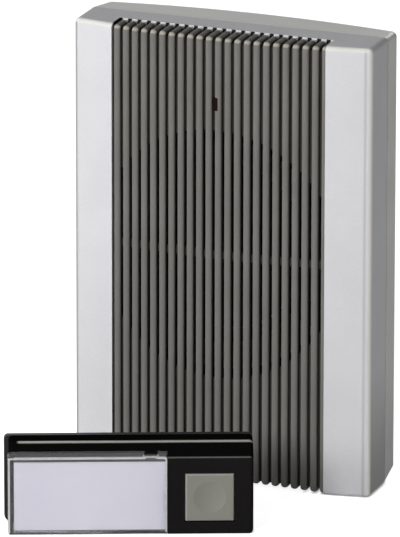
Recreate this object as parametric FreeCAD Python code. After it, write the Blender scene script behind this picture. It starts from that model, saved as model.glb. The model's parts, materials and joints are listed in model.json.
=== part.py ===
"""Wireless doorbell: a battery chime with a ribbed speaker grille, and a bell push with a name plate.

Millimetres, +Z up, +X to the right seen from the front, the fronts face -Y. The origin is on the
chime's underside, half way across its width, in the middle of the strip that it stands on.
"""
import FreeCAD
import Part
import math
import os

V = FreeCAD.Vector

# Chime envelope
CHIME_WIDTH = 120.0
CHIME_HEIGHT = 177.2
FRONT_DEPTH = 17.3        # front corner back to the parting seam
FRONT_BOW = 5.4           # how far the middle of the front stands out past its corners
SEAM_Y = 6.0              # the parting seam between the two shells
REAR_DEPTH = 13.8         # seam back to the wall face
REAR_TAPER_SIDE = 1.4
REAR_TAPER_TOP = 1.4
REAR_TAPER_BOTTOM = 2.0
REAR_TOP_ARCH = 1.5
EDGE_RADIUS = 2.0
REAR_EDGE_RADIUS = 0.8
SEAM_GROOVE = 0.3         # shadow line round the front shell's rear edge
WALL = 2.2
ROOT = 0.5                # how far an added piece runs into its wall
INNER_CORNER_R = 0.6

# Grille and the channel that it lies in
OPENING_WIDTH = 86.2      # between the two silver panels
OPENING_OFFSET = -0.8     # the opening's middle, from the chime's middle
RIB_COUNT = 23
RIB_PITCH = 3.808
RIB_WIDTH = 2.55
RIB_HEIGHT = 2.0
RIB_CROWN = 0.4           # the crest's rounding
RIB_PHASE = 0.2           # middle rib, from the chime's middle
RIB_SINK = 0.3            # crests below the silver at top and bottom
RIB_SHOULDER = 1.7
RIB_ARCH = 1.5            # the middle ribs' lower ends above the outer ones'
RIB_END_ROUND = 1.2       # the rear ends' rounding, seen from above
RIB_ROOT = 0.4            # how far a rib runs into the sheet
GRILLE_SHEET = 1.5
SHEET_SHOULDER = 0.6
GRILLE_GAP = 0.12
WRAP_Y = -4.8             # where the channel ends on the top and the underside
CHANNEL_FLOOR = 1.6
SLOT_WIDTH = 1.1
SLOT_CIRCLE_R = 49.0
SLOT_CENTRE_Z = 91.0
SLOT_BAR = 3.2
PEG_R = 1.5
PEG_HEAD_R = 2.4
PEG_HEAD_T = 0.8
PEG_CLEARANCE = 0.1
PEG_X = (-34.0, 34.0)
PEG_Z = (14.0, 28.0, CHIME_HEIGHT - 19.2)

# Indicator light
WINDOW_WIDTH = 1.9
WINDOW_HEIGHT = 5.0
WINDOW_X = -0.8
WINDOW_Z = CHIME_HEIGHT - 26.4
WINDOW_GAP = 0.06
WINDOW_INSET = 0.25
GUIDE_FLANGE_T = 1.0
GUIDE_FLANGE_LIP = 1.2
GUIDE_ROD_R = 2.2
LED_R = 1.5
LED_LENGTH = 4.6
LED_RIM = 0.35
LED_RIM_T = 1.0
LED_GAP = 0.4

# Loudspeaker
SPEAKER_Z = SLOT_CENTRE_Z
SPEAKER_R = 33.0
SEAT_R = 35.0
SEAT_BORE_R = 31.0
SEAT_RISE = 3.4           # seat plane behind the channel floor's middle
SOUND_R = 46.0            # sound opening in the channel floor
SOUND_MARGIN = 3.2        # floor left beside each channel wall
SPOKE_WIDTH = 8.0
SPOKE_ANGLES = (90.0, 210.0, 330.0)
FLANGE_T = 0.8
FLANGE_BORE_R = 29.0
BASKET_NECK_R = 17.0
BASKET_DEPTH = 11.6       # flange's back to the top plate
BASKET_SHEET = 0.8
BASKET_FOOT = 2.0
BASKET_WINDOWS = 4
BASKET_WINDOW_WIDTH = 13.0
TOP_PLATE_R = 18.0
TOP_PLATE_T = 2.0
GAP_OUTER_R = 8.3
MAGNET_R = 20.0
MAGNET_BORE_R = 10.0
MAGNET_T = 6.0
YOKE_T = 1.8
POLE_R = 7.0
COIL_R = 7.5
COIL_T = 0.35
COIL_LENGTH = 8.5
CONE_R = 25.0
CONE_T = 0.5
CONE_RIM = 1.0
CONE_DEPTH = 7.6
CAP_RISE = 2.6
CAP_T = 0.4
SURROUND_LIP = 1.3
SURROUND_T = 0.4
SURROUND_ROLL = 1.7
CLAMP_WIDTH = 6.0
CLAMP_T = 0.8
CLAMP_OVERLAP = 1.6
CLAMP_POST_RADIUS_AT = 38.2
CLAMP_POST_R = 2.5
CLAMP_SCREW_R = 1.2
CLAMP_SCREW_LENGTH = 3.6
CLAMP_SCREW_HEAD_R = 2.2
SCREW_HEAD_ROUND = 0.45   # share of the head's thickness

# Rear housing
TONGUE_LENGTH = 2.0
TONGUE_T = 1.2
TONGUE_GAP = 0.15
PILLAR_Z_LOW = 9.0
PILLAR_Z_HIGH = CHIME_HEIGHT - 7.2
PILLAR_R = 3.6
PILLAR_JOINT_Y = 2.0
CASE_SCREW_R = 1.5
CASE_SCREW_LENGTH = 12.0
CASE_SCREW_HEAD_R = 2.8
CASE_SCREW_HEAD_T = 2.0
CASE_SCREW_SEAT = 3.0     # plastic under the screw's head
SCREW_HOLE_GAP = 0.2
PILOT_GAP = 0.04
KEYHOLE_X = 40.0
KEYHOLE_Z = CHIME_HEIGHT - 65.2
KEYHOLE_ENTRY_R = 4.25
KEYHOLE_SLOT_R = 2.2
KEYHOLE_RISE = 8.0
KEYHOLE_DEPTH = 3.6
KEYHOLE_WALL = 1.2
KEYHOLE_MARGIN = 1.6

# Batteries and their bay
CELL_R = 7.25
CELL_LENGTH = 50.5
CELL_NUB_R = 2.75
CELL_NUB = 1.3
CELL_SHRINK = 0.6         # the negative end's smaller disc
CELL_DISC = 0.3
CELL_PITCH = 15.3
CELL_COUNT = 4
CELL_DOOR_GAP = 0.4
BAY_SIDE_GAP = 0.6
BAY_WALL = 1.4
BAY_FLOOR_Z = 9.0
BAY_RIDGE_WIDTH = 1.6
BAY_RIDGE_HEIGHT = 2.4
CONTACT_T = 0.5
CONTACT_WIDTH = 11.0
CONTACT_DEPTH = 11.0
CONTACT_SPRING = 3.0
CONTACT_SPRING_T = 0.4
CONTACT_SPRING_WIDTH = 5.0
LEAF_REACH = 0.7          # share of the half depth
LEAF_DROP = 0.6           # share of the rise
TAB_WIDTH = 3.0
TAB_RISE = 1.5
TAB_GAP = 0.1
DOOR_T = 2.0
DOOR_LEDGE = 1.8
DOOR_GAP = 0.4
DOOR_LUG_X = 18.0
DOOR_LUG_WIDTH = 8.0
DOOR_LUG_R = 0.8
DOOR_LUG_DROP = 2.0       # hinge line below the door's lower edge
DOOR_LUG_GAP = 0.25
DOOR_THUMB_R = 9.0
DOOR_THUMB_DEPTH = 0.7
DOOR_CORNER_R = 2.0

# Chime circuit board and its controls
BOARD_T = 1.6
BOARD_FRONT_Y = 8.0
BOARD_SIDE_GAP = 3.8      # the board's left edge, from the outside of the side wall
BOARD_RIGHT = 40.0
BOARD_HEIGHT = 36.0
BOARD_TOP_GAP = 12.2      # the board's top, below the chime's top
BOSS_X = (-30.0, 36.0)
BOSS_INSET = 4.0          # above the board's lower edge, below its upper one
BOSS_R = 3.0
BOARD_SCREW_R = 1.1
BOARD_SCREW_HEAD_R = 2.1
BOARD_SCREW_HEAD_T = 1.3
BOARD_SCREW_LENGTH = 6.0
BOARD_HOLE_GAP = 0.15
WHEEL_Z = CHIME_HEIGHT - 23.2
WHEEL_R = 8.0
WHEEL_T = 2.6
WHEEL_PROUD = 1.3         # how far the rim stands out of the side wall
WHEEL_NOTCHES = 24
WHEEL_NOTCH_R = 0.45
WHEEL_BORE_GAP = 0.05
WHEEL_SLOT_GAP = 0.6
POT_R = 4.0
POT_T = 0.9
POT_SHAFT_R = 1.6
POT_HEAD_R = 2.4
POT_PLAY = 0.3
MELODY_Z = CHIME_HEIGHT - 38.7
MELODY_HEIGHT = 8.0
MELODY_DEPTH = 3.0
MELODY_PROUD = 0.9
MELODY_TRAVEL = 0.6
MELODY_GAP = 0.3
MELODY_FLANGE = 1.0
MELODY_FLANGE_T = 1.0
SWITCH_LENGTH = 4.0
SWITCH_HEIGHT = 6.0
SWITCH_DEPTH = 3.6
SWITCH_PLUNGER_R = 1.0
SWITCH_BORE_GAP = 0.3
SWITCH_BORE_DEPTH = 2.2
CHIP_SIZE = (12.0, 2.2, 9.0)
CHIP_AT = (16.0, CHIME_HEIGHT - 29.2)
CAPACITOR_R = 4.0
CAPACITOR_LENGTH = 11.0
CAPACITOR_AT = (-16.0, CHIME_HEIGHT - 27.2)
AERIAL_R = 0.5
AERIAL_RISE = 3.0
AERIAL_SPAN = 62.0
AERIAL_FROM_X = -38.0
AERIAL_INSET = 2.0
LEAD_R = 0.6
LEAD_BEND = 2.0
LEAD_LAP = 3.0            # how far a wire runs over the board's edge
LEAD_BOW = 2.5
LEAD_STEP = 8.0
SPEAKER_LEAD_X = (5.0, 8.5)

# Bell push envelope, in its own frame: u across, v back from its front face, z up
PUSH_WIDTH = 91.7
PUSH_FACE_HEIGHT = 30.2
PUSH_HEIGHT = 34.5
PUSH_BEVEL_DEPTH = 6.9
PUSH_DEPTH = 17.2
PUSH_WALL = 2.0
PUSH_CORNER_R = 1.6
PUSH_ARRIS_R = 0.5
PUSH_TURN = 22.53         # degrees about +Z
PUSH_X = -9.05
PUSH_Y = -82.33
BASE_T = 2.5
BASE_OVERHANG = 1.7       # grip lip past the case's left end
BASE_LIP_R = 3.3
BASE_CORNER_R = 1.6
BASE_SEAM = 0.1
BASE_RIM_LENGTH = 2.0
BASE_RIM_T = 1.0
BASE_RIM_GAP = 0.2
BASE_HOLE_SPACING = 68.0
BASE_HOLE_R = 2.1
BASE_HOLE_Z = 17.0
BASE_SINK_R = 4.0
BASE_SINK_DEPTH = 1.2

# Name cover and label
COVER_LEFT = -46.2
COVER_RIGHT = 13.48
COVER_PROUD = 0.3
COVER_LEFT_WALL = 2.2
COVER_WALL = 1.0
COVER_RIGHT_WALL = 0.5
COVER_FRONT_T = 1.4
COVER_CORNER_R = 1.0
COVER_SEAT_V = 2.5        # the case's step that the cover closes on
COVER_GAP = 0.15
COVER_FOOT = 0.2
COVER_NOTCH_LEFT = 5.0
COVER_NOTCH_RIGHT = 9.8
COVER_NOTCH_DEPTH = 1.5
CATCH_GAP = 0.4
CATCH_LENGTH = 1.2
CATCH_HEIGHT = 1.5
CATCH_DROP = 0.05
LABEL_T = 0.5
LABEL_MARGIN = 0.1
LABEL_TOP_GAP = 1.2       # the card's top, below the cover's inside

# Button, switch and electronics of the push
BUTTON_WIDTH = 18.2
BUTTON_HEIGHT = 18.6
BUTTON_U = 29.4
BUTTON_Z = 14.35
BUTTON_GAP = 0.3
BUTTON_PROUD = 0.15
BUTTON_CORNER_R = 0.5
BUTTON_TRAVEL = 0.6
BUTTON_FLANGE = 1.1
BUTTON_FLANGE_T = 1.0
BUTTON_FLANGE_GAP = 0.1
DIMPLE_R = 6.1
DIMPLE_DEPTH = 0.8
PAD_SIZE = 8.0
PAD_T = 0.9
TACT_SIZE = 6.2
TACT_PLUNGER_R = 1.7
TACT_BORE_GAP = 0.3
TACT_END_GAP = 0.2        # bore left behind the plunger at full press
TACT_BODY_GAP = 0.8       # pad to the switch's body at full press
TACT_REACH = 0.8          # plunger inside the body
PUSH_BOARD_V = 9.0
PUSH_BOARD_T = 1.2
PUSH_BOARD_LEFT = -38.0
PUSH_BOARD_RIGHT = 43.4
PUSH_BOARD_LOW = 3.6
PUSH_BOARD_HIGH = 29.0
PUSH_BOSS_R = 1.9
PUSH_BOSS_AT = ((-34.6, 6.4), (-34.6, 26.0), (41.9, 16.2))
PUSH_SCREW_R = 0.9
PUSH_SCREW_HEAD_R = 1.7
PUSH_SCREW_HEAD_T = 1.1
PUSH_SCREW_LENGTH = 4.0
SCREW_END_GAP = 0.3
COIN_R = 10.0
COIN_T = 3.2
COIN_SHRINK = 1.2         # the smaller face's disc
COIN_U = -8.0
COIN_Z = 16.0
COIN_CONTACT_T = 0.3
COIN_CLIP_T = 0.3
COIN_CLIP_WIDTH = 7.0
COIN_CLIP_GAP = 0.2
COIN_CLIP_FOOT = 2.0
PUSH_CHIP_SIZE = (8.0, 1.6, 6.0)
PUSH_CHIP_AT = (13.0, 15.0)
PUSH_AERIAL_FROM_U = -28.0
PUSH_AERIAL_SPAN = 60.0
PUSH_AERIAL_Z = 27.2
PUSH_AERIAL_RISE = 1.3
PUSH_AERIAL_BEND = 1.2

# Worked out from the sizes above
BACK_Y = SEAM_Y + REAR_DEPTH
CORNER_Y = SEAM_Y - FRONT_DEPTH
CROWN_Y = CORNER_Y - FRONT_BOW
HALF_WIDTH = CHIME_WIDTH / 2
BOW_R = (HALF_WIDTH ** 2 + FRONT_BOW ** 2) / (2 * FRONT_BOW)
BOW_CENTRE_Y = CROWN_Y + BOW_R
CHANNEL_LEFT = OPENING_OFFSET - OPENING_WIDTH / 2
CHANNEL_RIGHT = OPENING_OFFSET + OPENING_WIDTH / 2
CHANNEL_DEPTH = RIB_HEIGHT + GRILLE_SHEET + GRILLE_GAP
FLOOR_BACK_Y = CROWN_Y + CHANNEL_DEPTH + CHANNEL_FLOOR
SEAT_Y = FLOOR_BACK_Y + SEAT_RISE
BASKET_Y = SEAT_Y + FLANGE_T
TOP_PLATE_Y = BASKET_Y + BASKET_DEPTH
MAGNET_Y = TOP_PLATE_Y + TOP_PLATE_T
YOKE_Y = MAGNET_Y + MAGNET_T
BAY_DOOR_Y = BACK_Y - DOOR_T
CELL_Y = BAY_DOOR_Y - CELL_DOOR_GAP - CELL_R
BAY_FRONT_Y = CELL_Y - CELL_R - TAB_GAP
BAY_HALF = (CELL_COUNT - 1) * CELL_PITCH / 2 + CELL_R + BAY_SIDE_GAP
BAY_TOP_Z = BAY_FLOOR_Z + CELL_LENGTH + 2 * CONTACT_T + CONTACT_SPRING
DOOR_HALF = BAY_HALF + DOOR_LEDGE
DOOR_LOW_Z = BAY_FLOOR_Z - DOOR_LEDGE
DOOR_HIGH_Z = BAY_TOP_Z + DOOR_LEDGE
BOARD_BACK_Y = BOARD_FRONT_Y + BOARD_T
BOARD_LEFT = BOARD_SIDE_GAP - HALF_WIDTH
BOARD_HIGH_Z = CHIME_HEIGHT - BOARD_TOP_GAP
BOARD_LOW_Z = BOARD_HIGH_Z - BOARD_HEIGHT
BOSS_Z = (BOARD_LOW_Z + BOSS_INSET, BOARD_HIGH_Z - BOSS_INSET)
PILLAR_X = (HALF_WIDTH - WALL - CHANNEL_LEFT) / 2


def box(x0, x1, y0, y1, z0, z1):
    """A box between two corners."""
    return Part.makeBox(x1 - x0, y1 - y0, z1 - z0, V(x0, y0, z0))


def rod(radius, start, end):
    """A cylinder from one point to another."""
    way = end - start
    return Part.makeCylinder(radius, way.Length, start, way)


def joined(shapes):
    """Several shapes fused into one."""
    first, rest = shapes[0], shapes[1:]
    return first.fuse(rest).removeSplitter() if rest else first


def face_of(points):
    """A flat face inside a closed outline of straight lines."""
    return Part.Face(Part.makePolygon(points + points[:1]))


def turned(profile, at_x=0.0, at_z=0.0):
    """A solid of revolution about a line along Y; the profile is a list of (radius, y)."""
    face = face_of([V(at_x + r, y, at_z) for r, y in profile])
    return face.revolve(V(at_x, 0, at_z), V(0, 1, 0), 360)


def front_y(x, depth=0.0):
    """Where the bowed front is at x, or a surface that lies this depth behind it."""
    return BOW_CENTRE_Y - math.sqrt((BOW_R - depth) ** 2 - x ** 2)


def bowed_block(x0, x1, depth, back_y, z0, z1):
    """A block with the chime's bowed front, this depth behind the real one."""
    middle = (x0 + x1) / 2
    left = V(x0, front_y(x0, depth), z0)
    right = V(x1, front_y(x1, depth), z0)
    bow = Part.Arc(left, V(middle, front_y(middle, depth), z0), right).toShape()
    rear = [right, V(x1, back_y, z0), V(x0, back_y, z0), left]
    outline = Part.Wire([bow] + Part.makePolygon(rear).Edges)
    return Part.Face(outline).extrude(V(0, 0, z1 - z0))


def edges_where(shape, test):
    """The edges whose middle point passes a test."""
    chosen = []
    for edge in shape.Edges:
        middle = edge.valueAt((edge.FirstParameter + edge.LastParameter) / 2)
        if test(middle):
            chosen.append(edge)
    return chosen


def on_circle(radius, angle, y):
    """A point round the loudspeaker's axis."""
    turn = math.radians(angle)
    return V(radius * math.cos(turn), y, SPEAKER_Z + radius * math.sin(turn))


def lead(points, radius, bend):
    """A round wire along straight runs joined by arcs."""
    edges = []
    start = points[0]
    for before, corner, after in zip(points, points[1:], points[2:]):
        to_corner = (corner - before).normalize()
        onward = (after - corner).normalize()
        cut = bend * math.tan(to_corner.getAngle(onward) / 2)
        first = corner - to_corner * cut
        last = corner + onward * cut
        inward = (onward - to_corner).normalize()
        depth = math.hypot(bend, cut) - bend
        edges.append(Part.makeLine(start, first))
        edges.append(Part.Arc(first, corner + inward * depth, last).toShape())
        start = last
    edges.append(Part.makeLine(start, points[-1]))
    path = Part.Wire(edges)
    ring = Part.Wire(Part.makeCircle(radius, points[0], points[1] - points[0]))
    return path.makePipeShell([ring], True, False)


# Chime: front cover

def channel(depth_grow, side_grow):
    """The U of space round the front that holds the grille, or the same U grown by a wall."""
    depth = CHANNEL_DEPTH + depth_grow
    x0 = CHANNEL_LEFT - side_grow
    x1 = CHANNEL_RIGHT + side_grow
    rear = WRAP_Y + side_grow
    around = box(x0, x1, CROWN_Y - 1, rear, -1, CHIME_HEIGHT + 1)
    level = depth + RIB_SINK
    core = bowed_block(x0 - 1, x1 + 1, depth, rear + 1, level, CHIME_HEIGHT - level)
    return around.cut(core)


def sound_opening():
    """The round opening in the channel's floor, without the seat's ring and its spokes."""
    y0, y1 = CROWN_Y, SEAT_Y
    disc = rod(SOUND_R, V(0, y0, SPEAKER_Z), V(0, y1, SPEAKER_Z))
    left = CHANNEL_LEFT + SOUND_MARGIN
    right = CHANNEL_RIGHT - SOUND_MARGIN
    disc = disc.common(box(left, right, y0, y1, 0, CHIME_HEIGHT))
    disc = disc.cut(rod(SEAT_R, V(0, y0, SPEAKER_Z), V(0, y1, SPEAKER_Z)))
    for angle in SPOKE_ANGLES:
        spoke = box(0, SOUND_R + 1, y0, y1, -SPOKE_WIDTH / 2, SPOKE_WIDTH / 2)
        spoke.rotate(V(0, 0, 0), V(0, 1, 0), -angle)
        spoke.translate(V(0, 0, SPEAKER_Z))
        disc = disc.cut(spoke)
    return disc


def front_cover():
    """The silver shell with its channel, the speaker's seat and the screw pillars."""
    outer = bowed_block(-HALF_WIDTH, HALF_WIDTH, 0, SEAM_Y, 0, CHIME_HEIGHT)
    outer = outer.makeFillet(EDGE_RADIUS, edges_where(outer, lambda p: p.y < SEAM_Y - 0.01))
    half = HALF_WIDTH - WALL
    inner = bowed_block(-half, half, WALL, SEAM_Y + 1, WALL, CHIME_HEIGHT - WALL)
    shell = outer.cut(channel(0, 0)).cut(inner.cut(channel(CHANNEL_FLOOR, CHANNEL_FLOOR)))
    shell = shell.cut(sound_opening())
    behind = bowed_block(-half, half, CHANNEL_DEPTH, SEAM_Y, 0, CHIME_HEIGHT)
    axis_start = V(0, CROWN_Y, SPEAKER_Z)
    added = [rod(SEAT_R, axis_start, V(0, SEAT_Y, SPEAKER_Z)).common(behind)]
    for angle in SPOKE_ANGLES:
        foot = on_circle(CLAMP_POST_RADIUS_AT, angle, CROWN_Y)
        top = on_circle(CLAMP_POST_RADIUS_AT, angle, BASKET_Y)
        added.append(rod(CLAMP_POST_R, foot, top).common(behind))
    solid_front = bowed_block(-half, half, WALL / 2, SEAM_Y, 0, CHIME_HEIGHT)
    for x, z in pillar_places():
        pillar = rod(PILLAR_R, V(x, CROWN_Y, z), V(x, PILLAR_JOINT_Y, z))
        added.append(pillar.common(solid_front))
    shell = joined([shell] + added)
    holes = [rod(SEAT_BORE_R, axis_start, V(0, SEAT_Y + 1, SPEAKER_Z))]
    pilot = CASE_SCREW_R + PILOT_GAP
    for x, z in pillar_places():
        end_y = screw_tip_y() - 1
        holes.append(rod(pilot, V(x, PILLAR_JOINT_Y, z), V(x, end_y, z)))
    pilot = CLAMP_SCREW_R + PILOT_GAP
    for angle in SPOKE_ANGLES:
        top = on_circle(CLAMP_POST_RADIUS_AT, angle, BASKET_Y)
        holes.append(rod(pilot, top, top - V(0, CLAMP_SCREW_LENGTH, 0)))
    for x, z in peg_places():
        holes.append(rod(PEG_R + PEG_CLEARANCE, V(x, CROWN_Y, z), V(x, SEAT_Y, z)))
    holes.append(window_bar(2 * WINDOW_GAP, CROWN_Y, SEAT_Y))
    holes.append(seam_groove())
    return shell.cut(holes)


def seam_groove():
    """The shallow step round the front shell's rear edge."""
    inner = Part.Face(housing_outline(SEAM_Y - SEAM_GROOVE, SEAM_GROOVE, EDGE_RADIUS - SEAM_GROOVE, True))
    around = box(-HALF_WIDTH - 1, HALF_WIDTH + 1, SEAM_Y - SEAM_GROOVE, SEAM_Y + 1, -1, CHIME_HEIGHT + 1)
    return around.cut(inner.extrude(V(0, SEAM_GROOVE + 1, 0)))


def pillar_places():
    """Where the four case screws are, as (x, z)."""
    return [(x, z) for x in (-PILLAR_X, PILLAR_X) for z in (PILLAR_Z_LOW, PILLAR_Z_HIGH)]


def peg_places():
    """Where the grille's pegs are, as (x, z)."""
    return [(x, z) for x in PEG_X for z in PEG_Z]


def window_bar(grow, y0, y1):
    """The light window's rectangle run from one y to another, grown all round."""
    half_x = WINDOW_WIDTH / 2 + grow
    half_z = WINDOW_HEIGHT / 2 + grow
    return box(WINDOW_X - half_x, WINDOW_X + half_x, y0, y1, WINDOW_Z - half_z, WINDOW_Z + half_z)


def screw_seat_y():
    """The face in the rear pillar that the case screw's head bears on."""
    return PILLAR_JOINT_Y + CASE_SCREW_SEAT


def screw_tip_y():
    """The case screw's front end."""
    return screw_seat_y() - CASE_SCREW_LENGTH


# Chime: grille

def rib_outline(x, inset, radius):
    """A rib's outline seen from the side, open at the back, this far inside the crest's line."""
    y = front_y(x) + inset
    low = RIB_SINK + rib_lift(x) + inset
    high = CHIME_HEIGHT - RIB_SINK - inset
    rear = WRAP_Y - GRILLE_GAP
    r = radius
    bite = r * (1 - math.sqrt(0.5))
    return [
        Part.makeLine(V(x, rear, high), V(x, y + r, high)),
        Part.Arc(V(x, y + r, high), V(x, y + bite, high - bite), V(x, y, high - r)).toShape(),
        Part.makeLine(V(x, y, high - r), V(x, y, low + r)),
        Part.Arc(V(x, y, low + r), V(x, y + bite, low + bite), V(x, y + r, low)).toShape(),
        Part.makeLine(V(x, y + r, low), V(x, rear, low)),
    ]


def rib_lift(x):
    """How far a rib's lower end is above the outermost ones'."""
    return RIB_ARCH * (1 - ((x - OPENING_OFFSET) / (OPENING_WIDTH / 2)) ** 2)


def rib(x):
    """One rib: a crowned crest swept round the front, on a plain web that reaches into the sheet."""
    path = Part.Wire(rib_outline(x, 0, RIB_SHOULDER))
    rear = WRAP_Y - GRILLE_GAP
    high = CHIME_HEIGHT - RIB_SINK
    half = RIB_WIDTH / 2
    left = V(x - half, rear, high - RIB_CROWN)
    right = V(x + half, rear, high - RIB_CROWN)
    crest = Part.Arc(left, V(x, rear, high), right).toShape()
    foot = high - RIB_SHOULDER + RIB_CROWN
    sides = Part.makePolygon([right, V(x + half, rear, foot), V(x - half, rear, foot), left])
    profile = Part.Wire([crest] + sides.Edges)
    cap = path.makePipeShell([profile], True, False)
    inset = 2 * RIB_CROWN
    depth = RIB_HEIGHT + RIB_ROOT
    edges = rib_outline(x, inset, RIB_SHOULDER - inset)
    closing = Part.makeLine(V(x, rear, RIB_SINK + rib_lift(x) + inset), V(x, rear, high - inset))
    web = Part.Face(Part.Wire(edges + [closing])).extrude(V(RIB_WIDTH, 0, 0))
    web.translate(V(-half, 0, 0))
    core = box(x - half - 1, x + half + 1, front_y(x) + depth, SEAM_Y, RIB_SINK + depth, high - depth)
    return cap.fuse(web.cut(core))


def rib_plan(x):
    """A rib's outline seen from above, with its rounded rear end, run over the chime's height."""
    half = RIB_WIDTH / 2
    rear = WRAP_Y - GRILLE_GAP
    turn = rear - RIB_END_ROUND
    front = CROWN_Y - 1
    end = Part.Arc(V(x - half, turn, 0), V(x, rear, 0), V(x + half, turn, 0)).toShape()
    sides = Part.makePolygon([V(x + half, turn, 0), V(x + half, front, 0), V(x - half, front, 0),
                              V(x - half, turn, 0)])
    return Part.Face(Part.Wire([end] + sides.Edges)).extrude(V(0, 0, CHIME_HEIGHT))


def rib_x(index):
    """A rib's middle; the ribs are spread evenly about the middle one."""
    return RIB_PHASE + (index - (RIB_COUNT - 1) / 2) * RIB_PITCH


def groove_slots():
    """The sound slots: each groove is cut through inside the circle, but for one bar."""
    slots = []
    y0, y1 = CROWN_Y - 1, front_y(CHANNEL_LEFT, CHANNEL_DEPTH)
    for index in range(RIB_COUNT - 1):
        x = rib_x(index) + RIB_PITCH / 2
        reach = SLOT_CIRCLE_R ** 2 - (x - OPENING_OFFSET) ** 2
        if reach <= SLOT_BAR ** 2:
            continue
        half = SLOT_WIDTH / 2
        for side in (1, -1):
            ends = sorted((SLOT_CENTRE_Z + side * SLOT_BAR / 2, SLOT_CENTRE_Z + side * math.sqrt(reach)))
            slots.append(box(x - half, x + half, y0, y1, ends[0], ends[1]))
    return slots


def grille():
    """The ribbed grille: a bowed U of sheet with swept ribs, slots and staked pegs."""
    x0 = CHANNEL_LEFT + GRILLE_GAP
    x1 = CHANNEL_RIGHT - GRILLE_GAP
    rear = WRAP_Y - GRILLE_GAP
    low = RIB_SINK + RIB_HEIGHT
    high = CHIME_HEIGHT - low
    sheet = bowed_block(x0, x1, RIB_HEIGHT, rear, low, high)
    outer_arrises = edges_where(sheet, lambda p: p.y < front_y(0, RIB_HEIGHT) + 1 and abs(p.x) < x1 - 1)
    sheet = sheet.makeFillet(SHEET_SHOULDER, outer_arrises)
    sheet = sheet.cut(bowed_block(x0 - 1, x1 + 1, RIB_HEIGHT + GRILLE_SHEET, rear + 1,
                                  low + GRILLE_SHEET, high - GRILLE_SHEET))
    window = box(x0, x1, CROWN_Y - 1, SEAM_Y, 0, CHIME_HEIGHT)
    pieces = [sheet]
    for index in range(RIB_COUNT):
        x = rib_x(index)
        piece = rib(x).common(rib_plan(x))
        clipped = x + RIB_WIDTH / 2 > x1 or x - RIB_WIDTH / 2 < x0
        pieces.append(piece.common(window) if clipped else piece)
    for x, z in peg_places():
        root = front_y(x, RIB_HEIGHT + GRILLE_SHEET / 2)
        head = front_y(x, CHANNEL_DEPTH + CHANNEL_FLOOR) + PEG_CLEARANCE + peg_slope(x)
        pieces.append(rod(PEG_R, V(x, root, z), V(x, head, z)))
        pieces.append(rod(PEG_HEAD_R, V(x, head, z), V(x, head + PEG_HEAD_T, z)))
    whole = pieces[0].fuse(pieces[1:])
    return whole.cut(groove_slots() + [window_bar(WINDOW_GAP, CROWN_Y - 1, CROWN_Y + CHANNEL_DEPTH)])


def peg_slope(x):
    """How much further back the bowed floor is at the far side of a peg's head."""
    return front_y(abs(x) + PEG_HEAD_R) - front_y(abs(x))


# Chime: indicator light

def light_guide():
    """The clear piece that carries the indicator's light to the window in the grille."""
    flange_y = FLOOR_BACK_Y + WINDOW_GAP
    rod_y = flange_y + GUIDE_FLANGE_T
    bar = window_bar(0, CROWN_Y + WINDOW_INSET, flange_y)
    flange = window_bar(GUIDE_FLANGE_LIP, flange_y, rod_y)
    pipe = rod(GUIDE_ROD_R, V(WINDOW_X, rod_y, WINDOW_Z), V(WINDOW_X, led_tip_y() - LED_GAP, WINDOW_Z))
    return joined([bar, flange, pipe])


def led_tip_y():
    """The front end of the LED."""
    return BOARD_FRONT_Y - LED_LENGTH


def indicator_led():
    """The LED: a round-nosed body with a rim, on the board."""
    nose = led_tip_y() + LED_R
    body = rod(LED_R, V(WINDOW_X, nose, WINDOW_Z), V(WINDOW_X, BOARD_FRONT_Y, WINDOW_Z))
    dome = Part.makeSphere(LED_R, V(WINDOW_X, nose, WINDOW_Z))
    rim = rod(LED_R + LED_RIM, V(WINDOW_X, BOARD_FRONT_Y - LED_RIM_T, WINDOW_Z),
              V(WINDOW_X, BOARD_FRONT_Y, WINDOW_Z))
    return joined([body, dome, rim])


# Chime: loudspeaker

def speaker_frame():
    """The pressed steel basket with its flange, its foot and its windows."""
    t = BASKET_SHEET
    profile = [
        (SPEAKER_R, SEAT_Y), (SPEAKER_R, BASKET_Y), (FLANGE_BORE_R + t, BASKET_Y),
        (BASKET_NECK_R, TOP_PLATE_Y - BASKET_FOOT), (BASKET_NECK_R, TOP_PLATE_Y),
        (GAP_OUTER_R + t, TOP_PLATE_Y), (GAP_OUTER_R + t, TOP_PLATE_Y - t),
        (BASKET_NECK_R - t, TOP_PLATE_Y - t), (BASKET_NECK_R - t, TOP_PLATE_Y - BASKET_FOOT - t / 2),
        (FLANGE_BORE_R, SEAT_Y + t / 2), (FLANGE_BORE_R, SEAT_Y),
    ]
    basket = turned(profile, 0, SPEAKER_Z)
    half = BASKET_WINDOW_WIDTH / 2
    cuts = []
    for index in range(BASKET_WINDOWS):
        cut = box(BASKET_NECK_R + t, FLANGE_BORE_R - 2 * t, SEAT_Y + 2 * t, TOP_PLATE_Y - BASKET_FOOT - t,
                  -half, half)
        cut.rotate(V(0, 0, 0), V(0, 1, 0), 360 / BASKET_WINDOWS * (index + 0.5))
        cut.translate(V(0, 0, SPEAKER_Z))
        cuts.append(cut)
    return basket.cut(cuts)


def speaker_magnet():
    """The ferrite ring."""
    profile = [(MAGNET_BORE_R, MAGNET_Y), (MAGNET_R, MAGNET_Y), (MAGNET_R, YOKE_Y), (MAGNET_BORE_R, YOKE_Y)]
    return turned(profile, 0, SPEAKER_Z)


def speaker_top_plate():
    """The steel ring in front of the magnet."""
    y0, y1 = TOP_PLATE_Y, MAGNET_Y
    return turned([(GAP_OUTER_R, y0), (TOP_PLATE_R, y0), (TOP_PLATE_R, y1), (GAP_OUTER_R, y1)], 0, SPEAKER_Z)


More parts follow.
